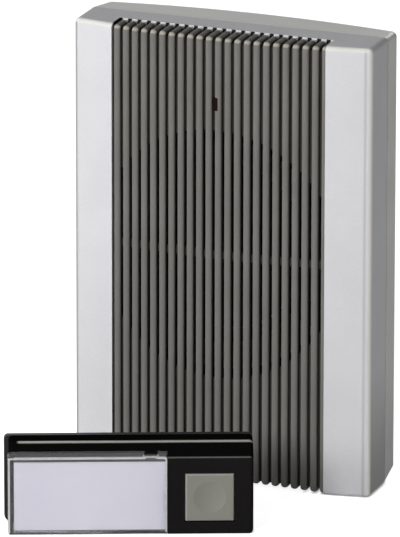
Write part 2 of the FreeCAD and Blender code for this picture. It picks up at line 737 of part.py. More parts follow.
def speaker_yoke():
    """The back plate and its pole."""
    plate = rod(TOP_PLATE_R, V(0, YOKE_Y, SPEAKER_Z), V(0, YOKE_Y + YOKE_T, SPEAKER_Z))
    pole = rod(POLE_R, V(0, TOP_PLATE_Y, SPEAKER_Z), V(0, YOKE_Y, SPEAKER_Z))
    return joined([plate, pole])


def cone_front_y():
    """The front of the cone's rim, level with the flange's front."""
    return SEAT_Y


def speaker_cone():
    """The paper cone with its flat rim."""
    y0 = cone_front_y()
    neck = COIL_R + COIL_T
    back = y0 + CONE_DEPTH
    profile = [
        (CONE_R, y0), (CONE_R, y0 + CONE_T), (CONE_R - CONE_RIM - CONE_T / 2, y0 + CONE_T),
        (neck, back + CONE_T), (neck, back), (CONE_R - CONE_RIM, y0),
    ]
    return turned(profile, 0, SPEAKER_Z)


def voice_coil():
    """The coil on its former, from the cone's neck into the magnet's gap."""
    y0 = cone_front_y() + CONE_DEPTH
    y1 = y0 + COIL_LENGTH
    profile = [(COIL_R, y0), (COIL_R + COIL_T, y0), (COIL_R + COIL_T, y1), (COIL_R, y1)]
    return turned(profile, 0, SPEAKER_Z)


def speaker_dust_cap():
    """The domed cap that closes the voice coil."""
    y0 = cone_front_y() + CONE_DEPTH
    outer_r = COIL_R + COIL_T
    dome_r = (outer_r ** 2 + CAP_RISE ** 2) / (2 * CAP_RISE)
    middle_y = y0 - CAP_RISE + dome_r
    ball = Part.makeSphere(dome_r, V(0, middle_y, SPEAKER_Z))
    hollow = Part.makeSphere(dome_r - CAP_T, V(0, middle_y, SPEAKER_Z))
    slab = rod(outer_r * 2, V(0, y0 - CAP_RISE - 1, SPEAKER_Z), V(0, y0, SPEAKER_Z))
    return ball.cut(hollow).common(slab)


def speaker_surround():
    """The half roll that hangs the cone in the frame."""
    y0 = cone_front_y() - SURROUND_T
    inner = CONE_R
    outer = FLANGE_BORE_R
    middle = (inner + outer) / 2
    t = SURROUND_T
    z = SPEAKER_Z

    def point(r, y):
        return V(r, y, z)

    front = Part.Arc(point(inner, y0), point(middle, y0 - SURROUND_ROLL), point(outer, y0)).toShape()
    back = Part.Arc(point(inner + t, y0 + t), point(middle, y0 - SURROUND_ROLL + t),
                    point(outer - t, y0 + t)).toShape()
    lip_out = Part.makePolygon([point(outer, y0), point(outer + SURROUND_LIP, y0),
                                point(outer + SURROUND_LIP, y0 + t), point(outer - t, y0 + t)])
    lip_in = Part.makePolygon([point(inner + t, y0 + t), point(inner - CONE_RIM, y0 + t),
                               point(inner - CONE_RIM, y0), point(inner, y0)])
    outline = Part.Wire([front] + lip_out.Edges + [back] + lip_in.Edges)
    return Part.Face(outline).revolve(V(0, 0, z), V(0, 1, 0), 360)


def speaker_clamps():
    """Three flat clips over the flange."""
    clips = []
    for angle in SPOKE_ANGLES:
        r0 = SPEAKER_R - CLAMP_OVERLAP
        r1 = CLAMP_POST_RADIUS_AT + CLAMP_POST_R
        clip = box(r0, r1, BASKET_Y, BASKET_Y + CLAMP_T, -CLAMP_WIDTH / 2, CLAMP_WIDTH / 2)
        hole_r = CLAMP_SCREW_R + SCREW_HOLE_GAP
        clip = clip.cut(rod(hole_r, V(CLAMP_POST_RADIUS_AT, BASKET_Y - 1, 0),
                            V(CLAMP_POST_RADIUS_AT, BASKET_Y + CLAMP_T + 1, 0)))
        clip.rotate(V(0, 0, 0), V(0, 1, 0), -angle)
        clip.translate(V(0, 0, SPEAKER_Z))
        clips.append(clip)
    return Part.makeCompound(clips)


def screw(seat, way, shank_r, length, head_r, head_t):
    """A pan-head screw: the head stands on the seat and the shank runs along way."""
    shank = rod(shank_r, seat, seat + way * (length - shank_r))
    point = Part.makeCone(shank_r, shank_r / 4, shank_r, seat + way * (length - shank_r), way)
    head = rod(head_r, seat, seat - way * head_t)
    top = seat - way * head_t
    rim = [edge for edge in head.Edges if (edge.BoundBox.Center - top).Length < 0.01]
    return joined([shank, point, head.makeFillet(head_t * SCREW_HEAD_ROUND, rim)])


def speaker_screws():
    """The clamps' screws."""
    screws = []
    for angle in SPOKE_ANGLES:
        seat = on_circle(CLAMP_POST_RADIUS_AT, angle, BASKET_Y + CLAMP_T)
        screws.append(screw(seat, V(0, -1, 0), CLAMP_SCREW_R, CLAMP_SCREW_LENGTH,
                            CLAMP_SCREW_HEAD_R, CLAMP_SCREW_R))
    return Part.makeCompound(screws)


def speaker_leads():
    """The two wires from the board down to the frame's terminals."""
    wires = []
    y = TOP_PLATE_Y - BASKET_FOOT / 2
    for x in SPEAKER_LEAD_X:
        z0 = SPEAKER_Z + math.sqrt(BASKET_NECK_R ** 2 - (x - LEAD_R) ** 2)
        z1 = BOARD_LOW_Z + LEAD_LAP
        run = [V(x, y, z0), V(x, y, z1), V(x, BOARD_FRONT_Y, z1)]
        wires.append(lead(run, LEAD_R, LEAD_BEND))
    return Part.makeCompound(wires)


# Chime: rear housing

def housing_outline(y, inset, corner, flat=False):
    """The housing's outline at y: a rectangle with round corners, tapered and arched with depth."""
    share = 0 if flat else (y - SEAM_Y) / REAR_DEPTH
    half = HALF_WIDTH - REAR_TAPER_SIDE * share - inset
    low = REAR_TAPER_BOTTOM * share + inset
    high = CHIME_HEIGHT - REAR_TAPER_TOP * share - inset
    arch = REAR_TOP_ARCH * share
    r = corner
    bite = r * (1 - math.sqrt(0.5))

    def corner_arc(x, z, from_x, from_z, to_x, to_z):
        inward_x = bite if x < 0 else -bite
        inward_z = bite if z < (low + high) / 2 else -bite
        return Part.Arc(V(from_x, y, from_z), V(x + inward_x, y, z + inward_z), V(to_x, y, to_z)).toShape()

    top_left = V(-half + r, y, high)
    top_right = V(half - r, y, high)
    if arch > 0:
        top = Part.Arc(top_right, V(0, y, high + arch), top_left).toShape()
    else:
        top = Part.makeLine(top_right, top_left)
    return Part.Wire([
        Part.makeLine(V(-half + r, y, low), V(half - r, y, low)),
        corner_arc(half, low, half - r, low, half, low + r),
        Part.makeLine(V(half, y, low + r), V(half, y, high - r)),
        corner_arc(half, high, half, high - r, half - r, high),
        top,
        corner_arc(-half, high, -half + r, high, -half, high - r),
        Part.makeLine(V(-half, y, high - r), V(-half, y, low + r)),
        corner_arc(-half, low, -half, low + r, -half + r, low),
    ])


def housing_block(y0, y1, inset, corner):
    """A block of the housing's form between two depths."""
    ends = [housing_outline(y, inset, corner) for y in (y0, y1)]
    return Part.makeLoft(ends, True, True)


def flat_ring(y0, y1, outer_inset, inner_inset):
    """A straight rim of the seam's outline."""
    rings = []
    for inset in (outer_inset, inner_inset):
        face = Part.Face(housing_outline(y0, inset, INNER_CORNER_R, True))
        rings.append(face.extrude(V(0, y1 - y0, 0)))
    return rings[0].cut(rings[1])


def door_outline(grow, y0, y1):
    """The battery door's rounded rectangle, grown all round."""
    half = DOOR_HALF + grow
    block = box(-half, half, y0, y1, DOOR_LOW_Z - grow, DOOR_HIGH_Z + grow)
    return block.makeFillet(DOOR_CORNER_R, edges_where(block, lambda p: abs(p.y - (y0 + y1) / 2) < 0.01))


def side_wall_x(y):
    """The outside of the housing's side wall at y, as a distance from the middle."""
    return HALF_WIDTH - REAR_TAPER_SIDE * (y - SEAM_Y) / REAR_DEPTH


def rear_housing():
    """The rear shell: tapered walls, battery bay, screw pillars, bosses, keyholes, side openings."""
    shell = housing_block(SEAM_Y, BACK_Y, 0, EDGE_RADIUS)
    shell = shell.makeFillet(REAR_EDGE_RADIUS, edges_where(shell, lambda p: p.y > BACK_Y - 0.01))
    shell = shell.cut(housing_block(SEAM_Y, BACK_Y - WALL, WALL, INNER_CORNER_R))
    tongue_in = WALL + TONGUE_GAP + TONGUE_T
    added = [
        flat_ring(SEAM_Y - TONGUE_LENGTH, SEAM_Y + TONGUE_LENGTH, WALL + TONGUE_GAP, tongue_in),
        flat_ring(SEAM_Y + TONGUE_GAP * 2, SEAM_Y + TONGUE_LENGTH, WALL - TONGUE_GAP * 4, tongue_in),
        box(-BAY_HALF - BAY_WALL, BAY_HALF + BAY_WALL, BAY_FRONT_Y - BAY_WALL, BACK_Y - WALL,
            BAY_FLOOR_Z - BAY_WALL, BAY_TOP_Z + BAY_WALL),
        box(-DOOR_HALF - BAY_WALL, DOOR_HALF + BAY_WALL, BAY_DOOR_Y - BAY_WALL, BACK_Y - WALL / 2,
            DOOR_LOW_Z - DOOR_LUG_DROP - 2 * BAY_WALL, DOOR_HIGH_Z + BAY_WALL),
    ]
    for x, z in pillar_places():
        added.append(rod(PILLAR_R, V(x, PILLAR_JOINT_Y, z), V(x, BACK_Y - WALL / 2, z)))
    for x in BOSS_X:
        for z in BOSS_Z:
            added.append(rod(BOSS_R, V(x, BOARD_BACK_Y, z), V(x, BACK_Y - WALL / 2, z)))
    for side in (-1, 1):
        added.append(keyhole_pocket(side * KEYHOLE_X, KEYHOLE_WALL, KEYHOLE_WALL))
    whole = joined([shell] + added)
    cuts = [box(-BAY_HALF, BAY_HALF, BAY_FRONT_Y, BACK_Y + 1, BAY_FLOOR_Z, BAY_TOP_Z),
            door_outline(DOOR_GAP, BAY_DOOR_Y, BACK_Y + 1)]
    for x in (-DOOR_LUG_X, DOOR_LUG_X):
        cuts.append(door_lug_socket(x))
    for x, z in pillar_places():
        seat = screw_seat_y()
        cuts.append(rod(CASE_SCREW_R + SCREW_HOLE_GAP, V(x, PILLAR_JOINT_Y - 1, z), V(x, seat, z)))
        cuts.append(rod(CASE_SCREW_HEAD_R + SCREW_HOLE_GAP, V(x, seat, z), V(x, BACK_Y + 1, z)))
    for x in BOSS_X:
        for z in BOSS_Z:
            end_y = BOARD_BACK_Y + BOARD_SCREW_LENGTH - BOARD_T + SCREW_HOLE_GAP
            cuts.append(rod(BOARD_SCREW_R + PILOT_GAP, V(x, BOARD_BACK_Y, z), V(x, end_y, z)))
    for side in (-1, 1):
        x = side * KEYHOLE_X
        cuts.append(keyhole_pocket(x, 0, 0))
        cuts.append(keyhole_cut(x))
    cuts.append(wheel_slot())
    cuts.append(melody_hole())
    half = TAB_WIDTH / 2 + TAB_GAP
    half_y = CONTACT_T / 2 + TAB_GAP
    for x in terminal_places():
        cuts.append(box(x - half, x + half, CELL_Y - half_y, CELL_Y + half_y,
                        BAY_TOP_Z, BAY_TOP_Z + BAY_WALL + 1))
    whole = whole.cut(cuts)
    ridges = []
    for index in range(CELL_COUNT - 1):
        x = cell_x(index) + CELL_PITCH / 2
        ridges.append(box(x - BAY_RIDGE_WIDTH / 2, x + BAY_RIDGE_WIDTH / 2,
                          BAY_FRONT_Y - BAY_WALL / 2, BAY_FRONT_Y + BAY_RIDGE_HEIGHT,
                          BAY_FLOOR_Z + CONTACT_DEPTH, BAY_TOP_Z - CONTACT_DEPTH))
    return joined([whole] + ridges)


def keyhole_pocket(x, grow, floor):
    """The closed pocket behind a keyhole, or its walls when grown."""
    half = KEYHOLE_ENTRY_R + KEYHOLE_MARGIN + grow
    low = KEYHOLE_Z - KEYHOLE_ENTRY_R - KEYHOLE_MARGIN - grow
    high = KEYHOLE_Z + KEYHOLE_RISE + KEYHOLE_ENTRY_R + KEYHOLE_MARGIN + grow
    deep = BACK_Y - WALL - KEYHOLE_DEPTH - floor
    return box(x - half, x + half, deep, BACK_Y - WALL + grow / 2, low, high)


def keyhole_cut(x):
    """The entry hole and the slot above it, through the back wall."""
    y0, y1 = BACK_Y - WALL - ROOT, BACK_Y + 1
    top = KEYHOLE_Z + KEYHOLE_RISE
    entry = rod(KEYHOLE_ENTRY_R, V(x, y0, KEYHOLE_Z), V(x, y1, KEYHOLE_Z))
    end = rod(KEYHOLE_SLOT_R, V(x, y0, top), V(x, y1, top))
    slot = box(x - KEYHOLE_SLOT_R, x + KEYHOLE_SLOT_R, y0, y1, KEYHOLE_Z, top)
    return joined([entry, end, slot])


# Chime: batteries

def cell_x(index):
    """The middle of a battery."""
    return (index - (CELL_COUNT - 1) / 2) * CELL_PITCH


def cell(index):
    """One AA cell; every other one is upside down."""
    upright = index % 2 == 0
    x = cell_x(index)
    low = BAY_FLOOR_Z + CONTACT_T + (CONTACT_SPRING if upright else 0)
    body_length = CELL_LENGTH - CELL_NUB
    way = V(0, 0, 1) if upright else V(0, 0, -1)
    foot = V(x, CELL_Y, low if upright else low + CELL_LENGTH)
    body = rod(CELL_R, foot + way * CELL_DISC, foot + way * body_length)
    body = body.makeFillet(CELL_DISC * 2, [edge for edge in body.Edges if edge.Closed])
    disc = rod(CELL_R - CELL_SHRINK * 2, foot, foot + way * CELL_DISC * 2)
    nub = rod(CELL_NUB_R, foot + way * (body_length - CELL_DISC), foot + way * CELL_LENGTH)
    return joined([body, disc, nub])


def terminal_places():
    """The two outer cells' middles, where the leads start."""
    return (cell_x(0), cell_x(CELL_COUNT - 1))


def contact_plate(x0, x1, at_top):
    """A flat plate against the bay's end wall."""
    z0 = BAY_TOP_Z - CONTACT_T if at_top else BAY_FLOOR_Z
    y0 = CELL_Y - CONTACT_DEPTH / 2
    return box(x0 - CONTACT_WIDTH / 2, x1 + CONTACT_WIDTH / 2, y0, y0 + CONTACT_DEPTH, z0, z0 + CONTACT_T)


def contact_leaf(x, at_top):
    """The bent leaf that presses on a cell's negative end."""
    t = CONTACT_SPRING_T
    half = CONTACT_DEPTH / 2 - t
    rise = CONTACT_SPRING
    outline = [
        (half, 0), (half, t), (0, rise), (-half * LEAF_REACH, rise * LEAF_DROP),
        (-half * LEAF_REACH, rise * LEAF_DROP - t), (0, rise - t),
        (half - 2 * t, 0),
    ]
    base = BAY_TOP_Z - CONTACT_T if at_top else BAY_FLOOR_Z + CONTACT_T
    sign = -1 if at_top else 1
    x0 = x - CONTACT_SPRING_WIDTH / 2
    face = face_of([V(x0, CELL_Y + dy, base + sign * dz) for dy, dz in outline])
    return face.extrude(V(CONTACT_SPRING_WIDTH, 0, 0))


def battery_terminals():
    """The two end contacts, each with a tab through the bay's wall."""
    solids = []
    for index, x in ((0, cell_x(0)), (CELL_COUNT - 1, cell_x(CELL_COUNT - 1))):
        tab = box(x - TAB_WIDTH / 2, x + TAB_WIDTH / 2, CELL_Y - CONTACT_T / 2, CELL_Y + CONTACT_T / 2,
                  BAY_TOP_Z - CONTACT_T, BAY_TOP_Z + BAY_WALL + TAB_RISE)
        pieces = [contact_plate(x, x, True), tab]
        if index % 2 == 1:
            pieces.append(contact_leaf(x, True))
        solids.append(joined(pieces))
    return Part.makeCompound(solids)


def battery_bridges():
    """The plates that join each cell to the next."""
    solids = []
    for index in range(CELL_COUNT - 1):
        at_top = index % 2 == 1
        plate = contact_plate(cell_x(index), cell_x(index + 1), at_top)
        solids.append(joined([plate, contact_leaf(cell_x(index), at_top)]))
    return Part.makeCompound(solids)


def battery_leads():
    """The two wires from the terminals up to the back of the board."""
    wires = []
    for x in terminal_places():
        z0 = BAY_TOP_Z + BAY_WALL + TAB_RISE
        y = BOARD_BACK_Y + LEAD_R
        bow_y = CELL_Y + LEAD_BOW
        run = [V(x, CELL_Y, z0), V(x, bow_y, z0 + LEAD_STEP), V(x, bow_y, BOARD_LOW_Z - LEAD_STEP),
               V(x, y, BOARD_LOW_Z + LEAD_LAP)]
        wires.append(lead(run, LEAD_R, LEAD_BEND))
    return Part.makeCompound(wires)


# Chime: battery door

def door_hinge_z():
    """The height of the door's hinge line."""
    return DOOR_LOW_Z - DOOR_LUG_DROP


def door_hinge_y():
    """The depth of the door's hinge line; its lugs are flush with the back."""
    return BACK_Y - DOOR_LUG_R


def door_lug_socket(x):
    """The notch in the housing that a hinge lug turns in, open to the back."""
    half = DOOR_LUG_WIDTH / 2 + DOOR_LUG_GAP
    r = DOOR_LUG_R + DOOR_LUG_GAP
    y, z = door_hinge_y(), door_hinge_z()
    return joined([rod(r, V(x - half, y, z), V(x + half, y, z)),
                   box(x - half, x + half, y - r, BACK_Y + 1, z, DOOR_LOW_Z + r),
                   box(x - half, x + half, y, BACK_Y + 1, z - r, z)])


def battery_door():
    """The flush door with two round-nosed hinge lugs and a thumb recess."""
    panel = door_outline(0, BAY_DOOR_Y, BACK_Y)
    y, z = door_hinge_y(), door_hinge_z()
    pieces = [panel]
    for x in (-DOOR_LUG_X, DOOR_LUG_X):
        x0, x1 = x - DOOR_LUG_WIDTH / 2, x + DOOR_LUG_WIDTH / 2
        pieces.append(rod(DOOR_LUG_R, V(x0, y, z), V(x1, y, z)))
        pieces.append(box(x0, x1, y - DOOR_LUG_R, y + DOOR_LUG_R, z, DOOR_LOW_Z + DOOR_LUG_R))
    depth = DOOR_THUMB_DEPTH
    ball_r = (DOOR_THUMB_R ** 2 + depth ** 2) / (2 * depth)
    thumb = Part.makeSphere(ball_r, V(0, BACK_Y - depth + ball_r, DOOR_HIGH_Z - DOOR_THUMB_R - DOOR_LEDGE))
    return joined(pieces).cut(thumb)


# Chime: circuit board and controls

def chime_board():
    """The circuit board on its four bosses."""
    board = box(BOARD_LEFT, BOARD_RIGHT, BOARD_FRONT_Y, BOARD_BACK_Y, BOARD_LOW_Z, BOARD_HIGH_Z)
    hole_r = BOARD_SCREW_R + BOARD_HOLE_GAP
    holes = []
    for x in BOSS_X:
        for z in BOSS_Z:
            holes.append(rod(hole_r, V(x, BOARD_FRONT_Y - 1, z), V(x, BOARD_BACK_Y + 1, z)))
    return board.cut(holes)


def board_screws():
    """The board's four screws."""
    screws = []
    for x in BOSS_X:
        for z in BOSS_Z:
            screws.append(screw(V(x, BOARD_FRONT_Y, z), V(0, 1, 0), BOARD_SCREW_R, BOARD_SCREW_LENGTH,
                                BOARD_SCREW_HEAD_R, BOARD_SCREW_HEAD_T))
    return Part.makeCompound(screws)


def case_screws():
    """The four screws that hold the two shells together."""
    screws = []
    for x, z in pillar_places():
        screws.append(screw(V(x, screw_seat_y(), z), V(0, -1, 0), CASE_SCREW_R, CASE_SCREW_LENGTH,
                            CASE_SCREW_HEAD_R, CASE_SCREW_HEAD_T))
    return Part.makeCompound(screws)


def wheel_x():
    """The thumbwheel's axis, so that its rim stands out of the side wall."""
    return -side_wall_x(wheel_front_y() + WHEEL_T / 2) - WHEEL_PROUD + WHEEL_R


def wheel_front_y():
    """The thumbwheel's front face, behind the board and its control."""
    return BOARD_BACK_Y + POT_T + POT_PLAY / 2


def wheel_slot():
    """The slot in the side wall that the wheel's rim stands in."""
    y0 = wheel_front_y() - WHEEL_SLOT_GAP
    y1 = wheel_front_y() + WHEEL_T + WHEEL_SLOT_GAP
    wall_out = side_wall_x(y0) + 1
    wall_in = side_wall_x(y1) - WALL - 1
    chord = math.sqrt(WHEEL_R ** 2 - (wheel_x() + wall_in) ** 2)
    reach = chord + WHEEL_SLOT_GAP
    return box(-wall_out, -wall_in, y0, y1, WHEEL_Z - reach, WHEEL_Z + reach)


def volume_wheel():
    """The notched thumbwheel."""
    x, y0 = wheel_x(), wheel_front_y()
    y1 = y0 + WHEEL_T
    wheel = rod(WHEEL_R, V(x, y0, WHEEL_Z), V(x, y1, WHEEL_Z))
    cuts = [rod(POT_SHAFT_R + WHEEL_BORE_GAP, V(x, y0 - 1, WHEEL_Z), V(x, y1 + 1, WHEEL_Z))]
    for index in range(WHEEL_NOTCHES):
        turn = 2 * math.pi * index / WHEEL_NOTCHES
        nx = x + WHEEL_R * math.cos(turn)
        nz = WHEEL_Z + WHEEL_R * math.sin(turn)
        cuts.append(rod(WHEEL_NOTCH_R, V(nx, y0 - 1, nz), V(nx, y1 + 1, nz)))
    return wheel.cut(cuts)


def volume_control():
    """The control under the wheel, with the shaft that it turns on and the shaft's head."""
    x, y0 = wheel_x(), BOARD_BACK_Y
    y1 = y0 + POT_T
    y2 = wheel_front_y() + WHEEL_T + POT_PLAY / 2
    return joined([rod(POT_R, V(x, y0, WHEEL_Z), V(x, y1, WHEEL_Z)),
                   rod(POT_SHAFT_R, V(x, y1, WHEEL_Z), V(x, y2, WHEEL_Z)),
                   rod(POT_HEAD_R, V(x, y2, WHEEL_Z), V(x, y2 + POT_T, WHEEL_Z))])


def melody_y():
    """The depth of the melody button's and its switch's middle."""
    return BOARD_BACK_Y + SWITCH_DEPTH / 2


def melody_box(grow, x0, x1):
    """The melody button's outline from one x to another."""
    half_y = MELODY_DEPTH / 2 + grow
    half_z = MELODY_HEIGHT / 2 + grow
    y = melody_y()
    return box(x0, x1, y - half_y, y + half_y, MELODY_Z - half_z, MELODY_Z + half_z)


def melody_hole():
    """The hole in the side wall for the melody button."""
    return melody_box(MELODY_GAP, -HALF_WIDTH - 1, -side_wall_x(BACK_Y) + WALL + 1)


def melody_flange_x():
    """The left face of the melody button's flange, just inside the side wall."""
    return -side_wall_x(BACK_Y) + WALL + MELODY_GAP


def melody_button():
    """The melody button: a cap through the wall and a flange behind it."""
    outside = -side_wall_x(melody_y()) - MELODY_PROUD
    x0 = melody_flange_x()
    cap = melody_box(0, outside, x0 + MELODY_FLANGE_T)
    face_edges = edges_where(cap, lambda p: p.x < outside + 0.01)
    cap = cap.makeFillet(MELODY_GAP, face_edges)
    half_z = MELODY_HEIGHT / 2 + MELODY_FLANGE
    y = melody_y()
    flange = box(x0, x0 + MELODY_FLANGE_T, y - MELODY_DEPTH / 2, y + MELODY_DEPTH / 2,
                 MELODY_Z - half_z, MELODY_Z + half_z)
    return joined([cap, flange])


def melody_switch_x():
    """The left face of the melody switch's body, clear of the button all the way in."""
    return melody_flange_x() + MELODY_FLANGE_T + MELODY_TRAVEL + MELODY_GAP


def melody_switch():
    """The side-pressed switch behind the melody button, on the back of the board."""
    x0, y = melody_switch_x(), melody_y()
    body = box(x0, x0 + SWITCH_LENGTH, BOARD_BACK_Y, BOARD_BACK_Y + SWITCH_DEPTH,
               MELODY_Z - SWITCH_HEIGHT / 2, MELODY_Z + SWITCH_HEIGHT / 2)
    return body.cut(rod(SWITCH_PLUNGER_R + SWITCH_BORE_GAP, V(x0 - 1, y, MELODY_Z),
                        V(x0 + SWITCH_BORE_DEPTH, y, MELODY_Z)))


def melody_plunger():
    """The melody switch's plunger, which touches the button."""
    x0, y = melody_flange_x() + MELODY_FLANGE_T, melody_y()
    x1 = melody_switch_x() + SWITCH_BORE_DEPTH - MELODY_TRAVEL - SWITCH_BORE_GAP
    return rod(SWITCH_PLUNGER_R, V(x0, y, MELODY_Z), V(x1, y, MELODY_Z))


def receiver_chip():
    """The receiver chip on the board's front."""
    x, z = CHIP_AT
    wide, thick, high = CHIP_SIZE
    return box(x - wide / 2, x + wide / 2, BOARD_FRONT_Y - thick, BOARD_FRONT_Y, z - high / 2, z + high / 2)


def capacitor():
    """The electrolytic capacitor on the board's front."""
    x, z = CAPACITOR_AT
    return rod(CAPACITOR_R, V(x, BOARD_FRONT_Y, z), V(x, BOARD_FRONT_Y - CAPACITOR_LENGTH, z))


def chime_aerial():
    """The aerial wire along the board's upper edge."""
    z = BOARD_HIGH_Z - AERIAL_INSET
    y = BOARD_FRONT_Y - AERIAL_RISE
    x0, x1 = AERIAL_FROM_X, AERIAL_FROM_X + AERIAL_SPAN
    return lead([V(x0, BOARD_FRONT_Y, z), V(x0, y, z), V(x1, y, z)], AERIAL_R, LEAD_BEND)


# Bell push, modelled in its own frame

def push_profile(inset, back_v, u0, u1):
    """The case's side profile, inset all round, run from one end to the other."""
    slope = math.atan2(PUSH_HEIGHT - PUSH_FACE_HEIGHT, PUSH_BEVEL_DEPTH)
    face_top = PUSH_FACE_HEIGHT + inset * (math.tan(slope) - 1 / math.cos(slope))
    top = PUSH_HEIGHT - inset
    bevel_end = inset + (top - face_top) / math.tan(slope)
    outline = [(inset, inset), (inset, face_top), (bevel_end, top), (back_v, top), (back_v, inset)]
    return face_of([V(u0, v, z) for v, z in outline]).extrude(V(u1 - u0, 0, 0))


def case_back_v():
    """The back of the case, just in front of the base plate."""
    return PUSH_DEPTH - BASE_T - BASE_SEAM


def bevel_z(v):
    """The height of the bevel at v."""
    return PUSH_FACE_HEIGHT + v * (PUSH_HEIGHT - PUSH_FACE_HEIGHT) / PUSH_BEVEL_DEPTH


def push_half():
    """Half the case's width."""
    return PUSH_WIDTH / 2


def push_case():
    """The case: a bevelled shell with the button's opening and a step for the name cover."""
    half = push_half()
    back = case_back_v()
    outer = push_profile(0, back, -half, half)
    ends = edges_where(outer, lambda p: abs(p.x) > half - 0.01 and p.y < back - 0.01)
    outer = outer.makeFillet(PUSH_CORNER_R, ends)
    lines = edges_where(outer, lambda p: abs(p.x) < 1 and p.y < back - 0.01 and p.z > 1)
    outer = outer.makeFillet(PUSH_ARRIS_R, lines)
    split = COVER_RIGHT + COVER_GAP + PUSH_WALL
    inner_half = half - PUSH_WALL
    hollow = push_profile(PUSH_WALL, back + 1, split, inner_half)
    left = push_profile(PUSH_WALL, back + 1, -inner_half, split)
    deep = COVER_SEAT_V + PUSH_WALL
    left = left.common(box(-inner_half, split, deep, back + 1, 0, PUSH_HEIGHT))
    step = box(-half - 1, COVER_RIGHT + COVER_GAP, -1, COVER_SEAT_V, -1, PUSH_HEIGHT + 1)
    shell = outer.cut([hollow, left, step])
    bosses = []
    for u, z in PUSH_BOSS_AT:
        start = deep - ROOT if u < split else PUSH_WALL - ROOT
        bosses.append(rod(PUSH_BOSS_R, V(u, start, z), V(u, PUSH_BOARD_V, z)))
    catch_top = bevel_z(COVER_SEAT_V) - CATCH_DROP
    bosses.append(box(COVER_NOTCH_LEFT + CATCH_GAP, COVER_NOTCH_RIGHT - CATCH_GAP,
                      COVER_SEAT_V - CATCH_LENGTH, COVER_SEAT_V + ROOT,
                      catch_top - CATCH_HEIGHT, catch_top))
    shell = joined([shell] + bosses)
    cuts = [button_box(BUTTON_GAP, -1, PUSH_WALL + 1)]
    for u, z in PUSH_BOSS_AT:
        start = PUSH_BOARD_V - PUSH_SCREW_LENGTH + PUSH_BOARD_T - SCREW_END_GAP
        cuts.append(rod(PUSH_SCREW_R + PILOT_GAP, V(u, start, z), V(u, PUSH_BOARD_V, z)))
    return shell.cut(cuts)


def push_base():
    """The wall plate: a rim inside the case, a grip lip at the left, two countersunk holes."""
    half = push_half()
    v0, v1 = PUSH_DEPTH - BASE_T, PUSH_DEPTH
    plate = box(-half - BASE_OVERHANG, half, v0, v1, 0, PUSH_HEIGHT)
    lip = edges_where(plate, lambda p: abs(p.y - (v0 + v1) / 2) < 0.01 and p.x < 0 and p.z < 1)
    plate = plate.makeFillet(BASE_LIP_R, lip)
    others = edges_where(plate, lambda p: abs(p.y - (v0 + v1) / 2) < 0.01 and
                         (p.z > PUSH_HEIGHT - 1 or (p.x > 0 and p.z < 1)) and abs(p.x) > half - 0.1)
    plate = plate.makeFillet(BASE_CORNER_R, others)
    edge = PUSH_WALL + BASE_RIM_GAP
    inner = edge + BASE_RIM_T
    rim = box(-half + edge, half - edge, v0 - BASE_RIM_LENGTH, v0, edge, PUSH_HEIGHT - edge)
    rim = rim.cut(box(-half + inner, half - inner, v0 - BASE_RIM_LENGTH - 1, v0, inner, PUSH_HEIGHT - inner))
    whole = joined([plate, rim])
    cuts = []
    for u in (-BASE_HOLE_SPACING / 2, BASE_HOLE_SPACING / 2):
        cuts.append(rod(BASE_HOLE_R, V(u, v0 - 1, BASE_HOLE_Z), V(u, v1 + 1, BASE_HOLE_Z)))
        sink = Part.makeCone(BASE_SINK_R, BASE_HOLE_R, BASE_SINK_DEPTH, V(u, v0, BASE_HOLE_Z), V(0, 1, 0))
        cuts.append(sink)
    return whole.cut(cuts)


def name_cover():
    """The clear cover: a front panel with walls at both ends, along the foot and over the bevel."""
    top_outer = bevel_z(COVER_SEAT_V) + COVER_PROUD
    rise = (PUSH_HEIGHT - PUSH_FACE_HEIGHT) / PUSH_BEVEL_DEPTH
    front = -COVER_PROUD
    face_top = bevel_z(front) + COVER_PROUD
    outline = [(front, COVER_FOOT), (front, face_top), (COVER_SEAT_V, top_outer), (COVER_SEAT_V, COVER_FOOT)]
    block = face_of([V(COVER_LEFT, v, z) for v, z in outline]).extrude(V(COVER_RIGHT - COVER_LEFT, 0, 0))
    left_corners = edges_where(block, lambda p: p.x < COVER_LEFT + 0.01 and abs(p.z - face_top / 2) > 10)
    block = block.makeFillet(COVER_CORNER_R, left_corners)
    block = block.makeFillet(COVER_PROUD, edges_where(block, lambda p: p.y < front + 0.01))
    behind = front + COVER_FRONT_T
    inner_top = bevel_z(behind) + COVER_PROUD - COVER_WALL
    inner = [(behind, COVER_FOOT + COVER_WALL), (behind, inner_top),
             (COVER_SEAT_V + 1, inner_top + rise * (COVER_SEAT_V + 1 - behind)),
             (COVER_SEAT_V + 1, COVER_FOOT + COVER_WALL)]
    u0 = COVER_LEFT + COVER_LEFT_WALL
    hollow = face_of([V(u0, v, z) for v, z in inner])
    hollow = hollow.extrude(V(COVER_RIGHT - COVER_RIGHT_WALL - u0, 0, 0))
    notch = box(COVER_NOTCH_LEFT, COVER_NOTCH_RIGHT, COVER_SEAT_V - COVER_NOTCH_DEPTH, COVER_SEAT_V + 1,
                PUSH_FACE_HEIGHT - COVER_WALL, PUSH_HEIGHT)
    return block.cut([hollow, notch])


def name_label():
    """The card behind the clear cover."""
    gap = LABEL_MARGIN
    return box(COVER_LEFT + COVER_LEFT_WALL + gap, COVER_RIGHT - COVER_RIGHT_WALL - gap,
               COVER_SEAT_V - LABEL_T, COVER_SEAT_V,
               COVER_FOOT + COVER_WALL + gap, PUSH_FACE_HEIGHT - COVER_WALL - LABEL_TOP_GAP)


def button_box(grow, v0, v1):
    """The button's outline from one depth to another, grown all round."""
    half_u = BUTTON_WIDTH / 2 + grow
    half_z = BUTTON_HEIGHT / 2 + grow
    return box(BUTTON_U - half_u, BUTTON_U + half_u, v0, v1, BUTTON_Z - half_z, BUTTON_Z + half_z)


